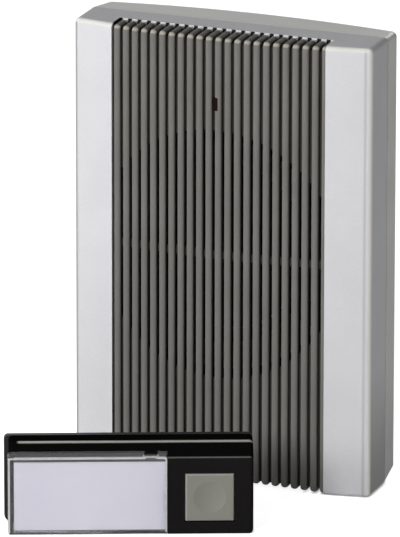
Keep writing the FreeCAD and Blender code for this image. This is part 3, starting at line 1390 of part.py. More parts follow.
def button_flange_v():
    """The front of the flange that keeps the button in the case."""
    return PUSH_WALL + BUTTON_FLANGE_GAP


def button_back_v():
    """The back of the button's flange."""
    return button_flange_v() + BUTTON_FLANGE_T


def push_button():
    """The square button with a round dimple and a flange behind the case's front."""
    cap = button_box(0, -BUTTON_PROUD, button_back_v())
    cap = cap.makeFillet(BUTTON_CORNER_R, edges_where(cap, lambda p: p.y < 0))
    flange = button_box(BUTTON_FLANGE, button_flange_v(), button_back_v())
    ball_r = (DIMPLE_R ** 2 + DIMPLE_DEPTH ** 2) / (2 * DIMPLE_DEPTH)
    ball = Part.makeSphere(ball_r, V(BUTTON_U, -BUTTON_PROUD + DIMPLE_DEPTH - ball_r, BUTTON_Z))
    return joined([cap, flange]).cut(ball)


def button_pad():
    """The rubber pad between the button and the switch."""
    v0 = button_back_v()
    half = PAD_SIZE / 2
    return box(BUTTON_U - half, BUTTON_U + half, v0, v0 + PAD_T, BUTTON_Z - half, BUTTON_Z + half)


def tact_front_v():
    """The front of the switch's body."""
    return button_back_v() + PAD_T + BUTTON_TRAVEL + TACT_BODY_GAP


def tact_switch():
    """The tactile switch's body, on the board."""
    half = TACT_SIZE / 2
    v0 = tact_front_v()
    body = box(BUTTON_U - half, BUTTON_U + half, v0, PUSH_BOARD_V, BUTTON_Z - half, BUTTON_Z + half)
    bore_r = TACT_PLUNGER_R + TACT_BORE_GAP
    end_v = v0 + TACT_REACH + BUTTON_TRAVEL + TACT_END_GAP
    return body.cut(rod(bore_r, V(BUTTON_U, v0 - 1, BUTTON_Z), V(BUTTON_U, end_v, BUTTON_Z)))


def tact_plunger():
    """The switch's plunger, which touches the pad."""
    v0 = button_back_v() + PAD_T
    return rod(TACT_PLUNGER_R, V(BUTTON_U, v0, BUTTON_Z), V(BUTTON_U, tact_front_v() + TACT_REACH, BUTTON_Z))


def push_board():
    """The transmitter's circuit board."""
    board = box(PUSH_BOARD_LEFT, PUSH_BOARD_RIGHT, PUSH_BOARD_V, PUSH_BOARD_V + PUSH_BOARD_T,
                PUSH_BOARD_LOW, PUSH_BOARD_HIGH)
    holes = []
    for u, z in PUSH_BOSS_AT:
        holes.append(rod(PUSH_SCREW_R + BOARD_HOLE_GAP, V(u, PUSH_BOARD_V - 1, z),
                         V(u, PUSH_BOARD_V + PUSH_BOARD_T + 1, z)))
    return board.cut(holes)


def push_board_back():
    """The back of the push's board."""
    return PUSH_BOARD_V + PUSH_BOARD_T


def push_screws():
    """The board's three screws, put in from the back."""
    screws = []
    for u, z in PUSH_BOSS_AT:
        screws.append(screw(V(u, push_board_back(), z), V(0, -1, 0), PUSH_SCREW_R, PUSH_SCREW_LENGTH,
                            PUSH_SCREW_HEAD_R, PUSH_SCREW_HEAD_T))
    return Part.makeCompound(screws)


def coin_cell():
    """The coin cell on its lower contact."""
    v0 = push_board_back() + COIN_CONTACT_T
    can = rod(COIN_R, V(COIN_U, v0 + COIN_CONTACT_T, COIN_Z), V(COIN_U, v0 + COIN_T, COIN_Z))
    disc = rod(COIN_R - COIN_SHRINK, V(COIN_U, v0, COIN_Z), V(COIN_U, v0 + COIN_T / 2, COIN_Z))
    return joined([can, disc])


def coin_contact():
    """The round contact under the coin cell."""
    v0 = push_board_back()
    return rod(COIN_R / 2, V(COIN_U, v0, COIN_Z), V(COIN_U, v0 + COIN_CONTACT_T, COIN_Z))


def coin_clip():
    """The spring strap over the coin cell, with a foot at each side."""
    v0 = push_board_back()
    top = v0 + COIN_CONTACT_T + COIN_T
    half_z = COIN_CLIP_WIDTH / 2
    reach = COIN_R + COIN_CLIP_GAP
    t = COIN_CLIP_T
    outline = [
        (-reach - t - COIN_CLIP_FOOT, v0), (-reach, v0), (-reach, top), (reach, top), (reach, v0),
        (reach + t + COIN_CLIP_FOOT, v0), (reach + t + COIN_CLIP_FOOT, v0 + t), (reach + t, v0 + t),
        (reach + t, top + t), (-reach - t, top + t), (-reach - t, v0 + t),
        (-reach - t - COIN_CLIP_FOOT, v0 + t),
    ]
    face = face_of([V(COIN_U + u, v, COIN_Z - half_z) for u, v in outline])
    return face.extrude(V(0, 0, COIN_CLIP_WIDTH))


def transmitter_chip():
    """The transmitter chip on the back of the board."""
    u, z = PUSH_CHIP_AT
    wide, thick, high = PUSH_CHIP_SIZE
    v0 = push_board_back()
    return box(u - wide / 2, u + wide / 2, v0, v0 + thick, z - high / 2, z + high / 2)


def push_aerial():
    """The transmitter's aerial wire."""
    u0, u1 = PUSH_AERIAL_FROM_U, PUSH_AERIAL_FROM_U + PUSH_AERIAL_SPAN
    v0 = push_board_back()
    v1 = v0 + PUSH_AERIAL_RISE
    return lead([V(u0, v0, PUSH_AERIAL_Z), V(u0, v1, PUSH_AERIAL_Z), V(u1, v1, PUSH_AERIAL_Z)],
                AERIAL_R, PUSH_AERIAL_BEND)


def placed_push(shape):
    """The push's own frame turned and stood in front of the chime."""
    shape = shape.copy()
    shape.rotate(V(0, 0, 0), V(0, 0, 1), PUSH_TURN)
    shape.translate(V(PUSH_X, PUSH_Y, 0))
    return shape


CHIME_PIECES = {
    "front_cover": front_cover,
    "grille": grille,
    "rear_housing": rear_housing,
    "battery_door": battery_door,
    "battery_terminals": battery_terminals,
    "battery_bridges": battery_bridges,
    "battery_leads": battery_leads,
    "light_guide": light_guide,
    "indicator_led": indicator_led,
    "speaker_frame": speaker_frame,
    "speaker_top_plate": speaker_top_plate,
    "speaker_magnet": speaker_magnet,
    "speaker_yoke": speaker_yoke,
    "speaker_cone": speaker_cone,
    "speaker_dust_cap": speaker_dust_cap,
    "speaker_surround": speaker_surround,
    "voice_coil": voice_coil,
    "speaker_clamps": speaker_clamps,
    "speaker_screws": speaker_screws,
    "speaker_leads": speaker_leads,
    "chime_board": chime_board,
    "board_screws": board_screws,
    "case_screws": case_screws,
    "receiver_chip": receiver_chip,
    "capacitor": capacitor,
    "chime_aerial": chime_aerial,
    "volume_wheel": volume_wheel,
    "volume_control": volume_control,
    "melody_button": melody_button,
    "melody_switch": melody_switch,
    "melody_plunger": melody_plunger,
}

PUSH_PIECES = {
    "push_base": push_base,
    "push_case": push_case,
    "name_cover": name_cover,
    "name_label": name_label,
    "push_button": push_button,
    "button_pad": button_pad,
    "tact_switch": tact_switch,
    "tact_plunger": tact_plunger,
    "push_board": push_board,
    "push_screws": push_screws,
    "coin_cell": coin_cell,
    "coin_contact": coin_contact,
    "coin_clip": coin_clip,
    "transmitter_chip": transmitter_chip,
    "push_aerial": push_aerial,
}


def build():
    """Every node's shape under its name."""
    shapes = {}
    for name, make in CHIME_PIECES.items():
        shapes[name] = make()
    for index in range(CELL_COUNT):
        shapes["cell_%d" % (index + 1)] = cell(index)
    for name, make in PUSH_PIECES.items():
        shapes[name] = placed_push(make())
    return shapes


def main():
    """Write one STEP file per node."""
    os.makedirs("parts", exist_ok=True)
    for name, shape in build().items():
        shape.exportStep("parts/%s.step" % name)
        state = (name, len(shape.Solids), shape.Volume, shape.isValid())
        print("%-20s solids %2d  volume %10.1f  valid %s" % state)


main()
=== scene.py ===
"""Looks of the wireless doorbell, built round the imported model: a ribbed chime and a bell push.

Metres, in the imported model's frame: +Z up, the fronts face -Y, the origin is on the chime's underside.
Sizes in the classes are millimetres; they become metres where a mesh is made. Finishes measure the
surface in millimetres too.
"""
import json
import logging
import math
from dataclasses import dataclass, field
from enum import Enum
from functools import partial, reduce
from typing import Any, Sequence

import bmesh
import bpy
import numpy as np
from mathutils import Matrix, Vector


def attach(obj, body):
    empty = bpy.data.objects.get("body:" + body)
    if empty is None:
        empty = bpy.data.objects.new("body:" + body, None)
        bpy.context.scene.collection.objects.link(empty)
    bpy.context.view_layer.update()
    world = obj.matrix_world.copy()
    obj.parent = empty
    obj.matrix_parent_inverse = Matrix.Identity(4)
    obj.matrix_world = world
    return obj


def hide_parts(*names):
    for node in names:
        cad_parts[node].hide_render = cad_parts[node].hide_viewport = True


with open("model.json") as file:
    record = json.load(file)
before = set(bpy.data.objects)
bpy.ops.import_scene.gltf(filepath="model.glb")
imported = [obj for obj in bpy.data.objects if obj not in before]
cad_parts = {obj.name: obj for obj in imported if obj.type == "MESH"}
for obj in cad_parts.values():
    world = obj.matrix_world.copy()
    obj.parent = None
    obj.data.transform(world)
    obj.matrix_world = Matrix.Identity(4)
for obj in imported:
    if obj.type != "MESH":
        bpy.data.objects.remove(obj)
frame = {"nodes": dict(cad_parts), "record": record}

MM = 0.001
LOG = logging.getLogger("doorbell")
Colour = tuple[float, float, float]
Pair = tuple[float, float]

# Sizes that shapes and finishes share, in millimetres, and the push's turn in degrees

HALF_WIDTH = 60.0
CHIME_HEIGHT = 177.2
CROWN_Y = -16.7
BOW_RADIUS = 336.0333
GRILLE_MIDDLE = -0.8
GRILLE_REAR = -4.92
RIB_MIDDLE = 0.2
RIB_PITCH = 3.808
RIB_SINK = 0.3
PUSH_PLACE = (-9.05, -82.33)
PUSH_TURN = 22.53

# Limits for finished meshes, in metres and degrees

SAME_POINT = 2e-6
NO_LENGTH = 1e-6
SHARP_EDGE = 35.0


class Body(Enum):
    """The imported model's bodies that new pieces ride on."""

    CHIME = "chime"
    NAME_COVER = "name_cover"


class Lay(Enum):
    """Which way a metal's brush lines or a mould's flow lines run, as a stretch of the pattern."""

    ROUND = (1.0, 1.0, 1.0)
    ALONG_X = (0.03, 1.0, 1.0)


# Meshes

def add_object(name: str, data: bpy.types.ID) -> bpy.types.Object:
    """A new object in the scene that holds some data."""
    new = bpy.data.objects.new(name, data)
    bpy.context.scene.collection.objects.link(new)
    return new


def grid_quads(rows: int, columns: int, wrap_columns: bool = False) -> np.ndarray:
    """The quads of a grid of points that are numbered row after row.

    Each quad joins point (r, c) to (r, c + 1), (r + 1, c + 1) and (r + 1, c).

    Args:
        rows: how many rows of points.
        columns: how many points in a row.
        wrap_columns: True where a row's last point joins its first one.

    Returns:
        An array of point numbers, four to a quad.
    """
    across = columns if wrap_columns else columns - 1
    r, c = np.meshgrid(np.arange(rows - 1), np.arange(across), indexing="ij")
    here, below, after = r * columns, (r + 1) * columns, (c + 1) % columns
    return np.stack([here + c, here + after, below + after, below + c], -1).reshape(-1, 4)


def there_and_back(there: np.ndarray, back: np.ndarray) -> np.ndarray:
    """Two runs joined along their columns, the second one in reverse."""
    return np.concatenate([there, back[:, ::-1]], 1)


@dataclass
class Sheet:
    """Points in millimetres and the faces between them, gathered into one closed mesh."""

    points: list[np.ndarray] = field(default_factory=list)
    faces: list[np.ndarray] = field(default_factory=list)
    count: int = 0

    def add(self, points: np.ndarray, faces: np.ndarray) -> None:
        """Adds points and the faces that number them from zero.

        Args:
            points: an array of x, y, z rows, in millimetres.
            faces: an array of point numbers, three or four to a row.
        """
        flat = points.reshape(-1, 3)
        self.points.append(flat)
        self.faces.append(faces + self.count)
        self.count += len(flat)

    def tube(self, rings: np.ndarray) -> None:
        """Adds closed rings joined one to the next, with a fan over each end.

        Args:
            rings: an array of rings by points by x, y, z; each ring's last point joins its first.
        """
        n, m = rings.shape[:2]
        quads = grid_quads(n, m, wrap_columns=True)
        self.add(rings, quads)
        start = self.count - n * m
        for ring, turn in ((0, -1), (n - 1, 1)):
            edge = start + ring * m + np.arange(m)
            fan = np.stack([edge, np.roll(edge, -1), np.full(m, self.count)], -1)
            self.add(rings[ring].mean(0), fan[:, ::turn] - self.count)

    def piece(self, name: str) -> bpy.types.Object:
        """Makes the object: doubles merged, normals outward, smooth but for its sharp edges.

        Args:
            name: the piece's name.

        Returns:
            The new object, at the origin, with its place in its mesh.
        """
        mesh = bpy.data.meshes.new(name)
        faces = [face for block in self.faces for face in block.tolist()]
        mesh.from_pydata((np.concatenate(self.points) * MM).tolist(), [], faces)
        work = bmesh.new()
        work.from_mesh(mesh)
        bmesh.ops.remove_doubles(work, verts=work.verts, dist=SAME_POINT)
        bmesh.ops.dissolve_degenerate(work, dist=NO_LENGTH, edges=work.edges)
        bmesh.ops.recalc_face_normals(work, faces=work.faces)
        work.to_mesh(mesh)
        work.free()
        mesh.polygons.foreach_set("use_smooth", np.ones(len(mesh.polygons), bool))
        mesh.set_sharp_from_angle(angle=math.radians(SHARP_EDGE))
        return add_object(name, mesh)


def dress(piece: bpy.types.Object, material: bpy.types.Material, body: Body,
          nodes: Sequence[str] = ()) -> None:
    """Gives a new piece its material and body, and hides the CAD nodes that it stands for.

    Args:
        piece: the new object.
        material: its finish.
        body: the body that it rides on.
        nodes: the CAD nodes that it replaces.
    """
    piece.data.materials.clear()
    piece.data.materials.append(material)
    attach(piece, body.value)
    if nodes:
        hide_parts(*nodes)
    LOG.info("%s: %d faces, on %s", piece.name, len(piece.data.polygons), body.value)


def cut_away(piece: bpy.types.Object, low: Sequence[float], high: Sequence[float]) -> None:
    """Cuts a box out of a closed piece, and keeps the result in its mesh.

    Args:
        piece: the object to cut.
        low: the box's lowest corner, in millimetres.
        high: its highest corner.
    """
    a, b = np.array(low), np.array(high)
    corners = np.array([[x, y, z] for x in (0, 1) for y in (0, 1) for z in (0, 1)], float)
    block = Sheet()
    block.add(a + corners * (b - a), np.array([[0, 1, 3, 2], [4, 6, 7, 5], [0, 4, 5, 1],
                                               [2, 3, 7, 6], [0, 2, 6, 4], [1, 5, 7, 3]]))
    tool = block.piece("cutter")
    cut = piece.modifiers.new("cut", "BOOLEAN")
    cut.operation = "DIFFERENCE"
    cut.solver = "EXACT"
    cut.object = tool
    done = bpy.data.meshes.new_from_object(piece.evaluated_get(bpy.context.evaluated_depsgraph_get()))
    piece.modifiers.clear()
    piece.data = done
    bpy.data.objects.remove(tool)
    done.set_sharp_from_angle(angle=math.radians(SHARP_EDGE))


# Node trees

def emptied_tree(owner: bpy.types.Material | bpy.types.World) -> bpy.types.NodeTree:
    """A material's or a world's own tree, with nothing in it.

    Args:
        owner: the material or world.

    Returns:
        Its tree.
    """
    owner.use_nodes = True
    owner.node_tree.nodes.clear()
    return owner.node_tree


class Pen:
    """Adds nodes to a tree, sets their inputs and links them."""

    def __init__(self, tree: bpy.types.NodeTree) -> None:
        """Keeps the tree that it writes in."""
        self.tree = tree

    def feed(self, entry: bpy.types.NodeSocket, value: Any) -> None:
        """Links an input to a socket, or sets it to a value; a colour gets its full alpha.

        Args:
            entry: the input.
            value: an output socket, a number, a vector or a colour.
        """
        if isinstance(value, bpy.types.NodeSocket):
            self.tree.links.new(value, entry)
        elif entry.type == "RGBA":
            entry.default_value = (*value, 1.0)
        else:
            entry.default_value = value

    def add(self, kind: str, inputs: dict[Any, Any] | None = None, **settings: Any) -> bpy.types.Node:
        """Adds a node.

        Args:
            kind: the node's type name.
            inputs: values or output sockets, by the input's name or number.
            settings: the node's own settings.

        Returns:
            The new node.
        """
        node = self.tree.nodes.new(kind)
        for name, value in settings.items():
            setattr(node, name, value)
        for name, value in (inputs or {}).items():
            self.feed(node.inputs[name], value)
        return node

    def group(self, tree: bpy.types.NodeTree, inputs: dict[str, Any]) -> bpy.types.Node:
        """Places a shared group and feeds its inputs."""
        return self.add("ShaderNodeGroup", inputs, node_tree=tree)

    def math(self, operation: str, *values: Any) -> bpy.types.NodeSocket:
        """A Math node's output for one to three values or sockets."""
        return self.add("ShaderNodeMath", dict(enumerate(values)), operation=operation).outputs[0]

    def minus(self, first: Any, second: Any) -> bpy.types.NodeSocket:
        """The first value less the second."""
        return self.math("SUBTRACT", first, second)

    def times(self, *values: Any) -> bpy.types.NodeSocket:
        """The product of its values."""
        return reduce(partial(self.math, "MULTIPLY"), values)

    def least(self, *values: Any) -> bpy.types.NodeSocket:
        """The smallest of its values."""
        return reduce(partial(self.math, "MINIMUM"), values)

    def most(self, *values: Any) -> bpy.types.NodeSocket:
        """The largest of its values."""
        return reduce(partial(self.math, "MAXIMUM"), values)

    def rise(self, value: Any, low: Any, high: Any) -> bpy.types.NodeSocket:
        """A clamped smooth rise from 0 at low to 1 at high."""
        inputs = {"Value": value, "From Min": low, "From Max": high}
        return self.add("ShaderNodeMapRange", inputs, interpolation_type="SMOOTHSTEP").outputs[0]

    def fall(self, value: Any, low: Any, high: Any) -> bpy.types.NodeSocket:
        """A clamped smooth fall from 1 at low to 0 at high."""
        return self.minus(1.0, self.rise(value, low, high))

    def mix(self, factor: Any, first: Any, second: Any, blend: str = "MIX") -> bpy.types.NodeSocket:
        """A colour mix: the first colour at factor 0, the second blended over it at 1.

        Args:
            factor: a number or a socket.
            first: a colour or a socket.
            second: a colour or a socket.
            blend: how the second goes over the first.

        Returns:
            The mixed colour.
        """
        node = self.add("ShaderNodeMix", data_type="RGBA", blend_type=blend)
        factor_entry, first_entry, second_entry = (node.inputs[k] for k in (0, 6, 7))
        self.feed(factor_entry, factor)
        self.feed(first_entry, first)
        self.feed(second_entry, second)
        return node.outputs[2]

    def parts(self, vector: bpy.types.NodeSocket) -> tuple[bpy.types.NodeSocket, ...]:
        """A vector's x, y and z."""
        return tuple(self.add("ShaderNodeSeparateXYZ", {0: vector}).outputs)

    def normal(self) -> bpy.types.NodeSocket:
        """Which way the surface faces, in the object's own axes."""
        return self.add("ShaderNodeTexCoord").outputs["Normal"]

    def place(self, scale: Sequence[float] = (1.0, 1.0, 1.0)) -> bpy.types.NodeSocket:
        """Object coordinates, stretched by a scale."""
        at = self.add("ShaderNodeTexCoord").outputs["Object"]
        return self.add("ShaderNodeMapping", {"Vector": at, "Scale": scale}).outputs[0]

    def place_mm(self) -> tuple[bpy.types.NodeSocket, ...]:
        """A point's x, y and z in millimetres."""
        return self.parts(self.place((1 / MM,) * 3))

    def push_mm(self) -> tuple[bpy.types.NodeSocket, ...]:
        """A point's places in the push's own frame, in millimetres.

        Returns:
            How far it is along the push, back from its face, and up.
        """
        turned = self.add("ShaderNodeMapping", {
            "Vector": self.place((1 / MM,) * 3), "Location": (*PUSH_PLACE, 0.0),
            "Rotation": (0.0, 0.0, math.radians(PUSH_TURN))}, vector_type="TEXTURE")
        return self.parts(turned.outputs[0])

    def behind_front(self, x: bpy.types.NodeSocket, y: bpy.types.NodeSocket) -> bpy.types.NodeSocket:
        """How far a point is behind the chime's bowed front, all in millimetres.

        The bow is taken as a parabola: the crown's y plus x squared over twice the bow's radius.

        Args:
            x: the point's x.
            y: the point's y.

        Returns:
            The distance, less than 0 in front of it.
        """
        front = self.math("ADD", self.times(x, x, 0.5 / BOW_RADIUS), CROWN_Y)
        return self.minus(y, front)


def seen_directly(pen: Pen) -> bpy.types.NodeSocket:
    """1 for the camera's rays and for those that gloss or clear plastic sends on, 0 for light."""
    path = pen.add("ShaderNodeLightPath").outputs
    return pen.most(path["Is Camera Ray"], path["Is Glossy Ray"], path["Is Transmission Ray"])


def new_group(name: str, inputs: dict[str, tuple[str, Any]], outputs: dict[str, str]
              ) -> tuple[Pen, Any, Any]:
    """Starts a shader node group with named sockets.

    Args:
        name: the group's name.
        inputs: each input's kind of socket and default, by name.
        outputs: each output's kind of socket, by name.

    Returns:
        A pen in the group's tree, the sockets that it is given, and the entries that it fills.
    """
    tree = bpy.data.node_groups.new(name, "ShaderNodeTree")
    for label, (kind, value) in inputs.items():
        socket = tree.interface.new_socket(label, in_out="INPUT", socket_type="NodeSocket" + kind)
        if value is not None:
            socket.default_value = value
    for label, kind in outputs.items():
        tree.interface.new_socket(label, in_out="OUTPUT", socket_type="NodeSocket" + kind)
    given = tree.nodes.new("NodeGroupInput").outputs
    return Pen(tree), given, tree.nodes.new("NodeGroupOutput").inputs


class Effects:
    """The node groups that several finishes share, each built once.

    A pair of edges says where a mask begins to rise and where it is full.
    """

    BLEND_EDGES = (0.35, 0.65)
    STREAK_EDGES = (0.60, 0.72)
    STREAK_TURN = (0.2, 0.5, 0.1)
    STREAK_STRETCH = (1.0, 6.0, 24.0)
    STREAK_ROUGHNESS = 0.25
    SIDEWAYS_EDGES = (0.8, 0.97)
    # Painted shade that darkens the upright sides towards the floor: its colour, and the height in
    # millimetres where it ends.
    SIDE_SHADE = (0.39, 0.39, 0.40, 1.0)
    SIDE_SHADE_REACH = 60.0

    def __init__(self) -> None:
        """Builds the groups."""
        self.grain = self.build_grain()
        self.flakes = self.build_flakes()
        self.scuffs = self.build_scuffs()
        self.side_shade = self.build_side_shade()

    def build_grain(self) -> bpy.types.NodeTree:
        """Fine noise over a slow cloud: two colours, a roughness that wavers, and a height.

        The share of the second colour is the mean of the noise and the cloud, drawn apart.

        Returns:
            The group.
        """
        pen, given, out = new_group(
            "moulded grain",
            {"Vector": ("Vector", None), "Colour": ("Color", None), "Second Colour": ("Color", None),
             "Grain Scale": ("Float", 3000.0), "Cloud Scale": ("Float", 60.0),
             "Roughness": ("Float", 0.5), "Roughness Spread": ("Float", 0.1)},
            {"Colour": "Color", "Roughness": "Float", "Height": "Float"})
        fine, cloud = (pen.add("ShaderNodeTexNoise", {"Vector": given["Vector"], "Detail": detail,
                                                      "Scale": given[scale]}).outputs[0]
                       for detail, scale in ((3.0, "Grain Scale"), (2.0, "Cloud Scale")))
        mean = pen.math("ADD", pen.times(fine, 0.5), pen.times(cloud, 0.5))
        share = pen.rise(mean, *self.BLEND_EDGES)
        waver = pen.times(pen.minus(share, 0.5), given["Roughness Spread"])
        pen.feed(out["Colour"], pen.mix(share, given["Colour"], given["Second Colour"]))
        pen.feed(out["Roughness"], pen.math("ADD", given["Roughness"], waver))
        pen.feed(out["Height"], fine)
        return pen.tree

    def build_flakes(self) -> bpy.types.NodeTree:
        """Metal flakes in paint: each small cell is a little lighter or darker than the colour.

        Returns:
            The group.
        """
        pen, given, out = new_group(
            "paint flakes",
            {"Vector": ("Vector", None), "Colour": ("Color", None), "Flake Scale": ("Float", 9000.0),
             "Contrast": ("Float", 0.1)},
            {"Colour": "Color", "Height": "Float"})
        cell = pen.add("ShaderNodeTexVoronoi", {"Vector": given["Vector"], "Scale": given["Flake Scale"]})
        tone = pen.add("ShaderNodeSeparateColor", {0: cell.outputs["Color"]}).outputs[0]
        gain = pen.math("ADD", 1.0, pen.times(pen.minus(tone, 0.5), given["Contrast"]))
        grey = pen.add("ShaderNodeCombineColor", {0: gain, 1: gain, 2: gain}).outputs[0]
        pen.feed(out["Colour"], pen.mix(1.0, given["Colour"], grey, "MULTIPLY"))
        pen.feed(out["Height"], tone)
        return pen.tree

    def build_scuffs(self) -> bpy.types.NodeTree:
        """Hairline rub marks: a stretched noise, cut off so that only thin streaks stay.

        Returns:
            The group.
        """
        pen, given, out = new_group(
            "rub marks",
            {"Vector": ("Vector", None), "Scale": ("Float", 40.0), "Amount": ("Float", 0.3),
             "Roughness": ("Float", 0.4)},
            {"Roughness": "Float"})
        streaks = pen.add("ShaderNodeMapping", {"Vector": given["Vector"], "Rotation": self.STREAK_TURN,
                                                "Scale": self.STREAK_STRETCH}).outputs[0]
        noise = pen.add("ShaderNodeTexNoise", {"Vector": streaks, "Detail": 4.0, "Scale": given["Scale"]})
        mask = pen.times(pen.rise(noise.outputs[0], *self.STREAK_EDGES), given["Amount"])
        rougher = pen.times(mask, self.STREAK_ROUGHNESS)
        pen.feed(out["Roughness"], pen.math("ADD", given["Roughness"], rougher))
        return pen.tree

    def build_side_shade(self) -> bpy.types.NodeTree:
        """Painted shade on the upright sides that fades with the height above the floor, in millimetres.

        Returns:
            The group.
        """
        pen, given, out = new_group(
            "soiled sides",
            {"Height": ("Float", 0.0), "Normal": ("Vector", None), "Colour": ("Color", None),
             "Shade": ("Color", self.SIDE_SHADE), "Reach": ("Float", self.SIDE_SHADE_REACH)},
            {"Colour": "Color"})
        facing = pen.math("ABSOLUTE", pen.parts(given["Normal"])[0])
        sideways = pen.rise(facing, *self.SIDEWAYS_EDGES)
        mask = pen.times(sideways, pen.fall(given["Height"], 0.0, given["Reach"]))
        pen.feed(out["Colour"], pen.mix(mask, given["Colour"], given["Shade"]))
        return pen.tree


class Surface(Pen):
    """A finish's material while its nodes are laid out: what will feed its shader."""

    def __init__(self, finish: "Finish", effects: Effects) -> None:
        """Starts the material with the finish's single values and the shared grain.

        Args:
            finish: the finish that the material shows.
            effects: the shared node groups.
        """
        self.material = bpy.data.materials.new(finish.name)
        super().__init__(emptied_tree(self.material))
        self.effects = effects
        self.shader = self.add("ShaderNodeBsdfPrincipled", {
            "Metallic": finish.metallic, "Coat Roughness": finish.coat_roughness,
            "Specular IOR Level": finish.specular})
        self.add("ShaderNodeOutputMaterial", {"Surface": self.shader.outputs[0]})
        self.grain = self.group(effects.grain, {
            "Vector": self.place(finish.lay.value), "Colour": finish.colour,
            "Second Colour": finish.second, "Grain Scale": 1.0 / (finish.grain_mm * MM),
            "Cloud Scale": finish.cloud_scale, "Roughness": finish.roughness,
            "Roughness Spread": finish.spread})
        self.colour, self.roughness, self.height = self.grain.outputs
        self.depth = finish.depth_mm * MM
        self.bump = 1.0
        self.feeds: dict[str, bpy.types.NodeSocket] = {}

    def scuff(self) -> None:
        """Adds the shared rub marks to the roughness."""
        marks = self.group(self.effects.scuffs, {"Vector": self.place(), "Roughness": self.roughness})
        self.roughness = marks.outputs["Roughness"]

    def shaded(self, colour: bpy.types.NodeSocket) -> bpy.types.NodeSocket:
        """A colour with the shared painted side shade over it."""
        inputs = {"Height": self.place_mm()[2], "Normal": self.normal(), "Colour": colour}
        return self.group(self.effects.side_shade, inputs).outputs["Colour"]

    def complete(self) -> bpy.types.Material:
        """Feeds the shader with all that was laid out, the height through a bump.

        Returns:
            The material.
        """
        bump = self.add("ShaderNodeBump", {"Height": self.height, "Distance": self.depth,
                                           "Strength": self.bump})
        self.feeds |= {"Base Color": self.colour, "Roughness": self.roughness, "Normal": bump.outputs[0]}
        for label, socket in self.feeds.items():
            self.feed(self.shader.inputs[label], socket)
        return self.material


# Finishes

@dataclass(frozen=True)
class Finish:
    """A named surface finish: a plain moulding. The subclasses lay more over the grain.

    Where a field is a pair, a mask rises or falls between its two values.
    """

    name: str
    colour: Colour
    second: Colour
    roughness: float = 0.5
    spread: float = 0.1
    grain_mm: float = 0.3
    cloud_scale: float = 45.0
    depth_mm: float = 0.01
    metallic: float = 0.0
    coat_roughness: float = 0.1
    specular: float = 0.5
    lay: Lay = Lay.ROUND

    def build(self, effects: Effects) -> bpy.types.Material:
        """Makes the material.

        Args:
            effects: the shared node groups.

        Returns:
            The material.
        """
        work = Surface(self, effects)
        self.lay_on(work)
        return work.complete()

    def lay_on(self, work: Surface) -> None:
        """Rub marks over the grain."""
        work.scuff()


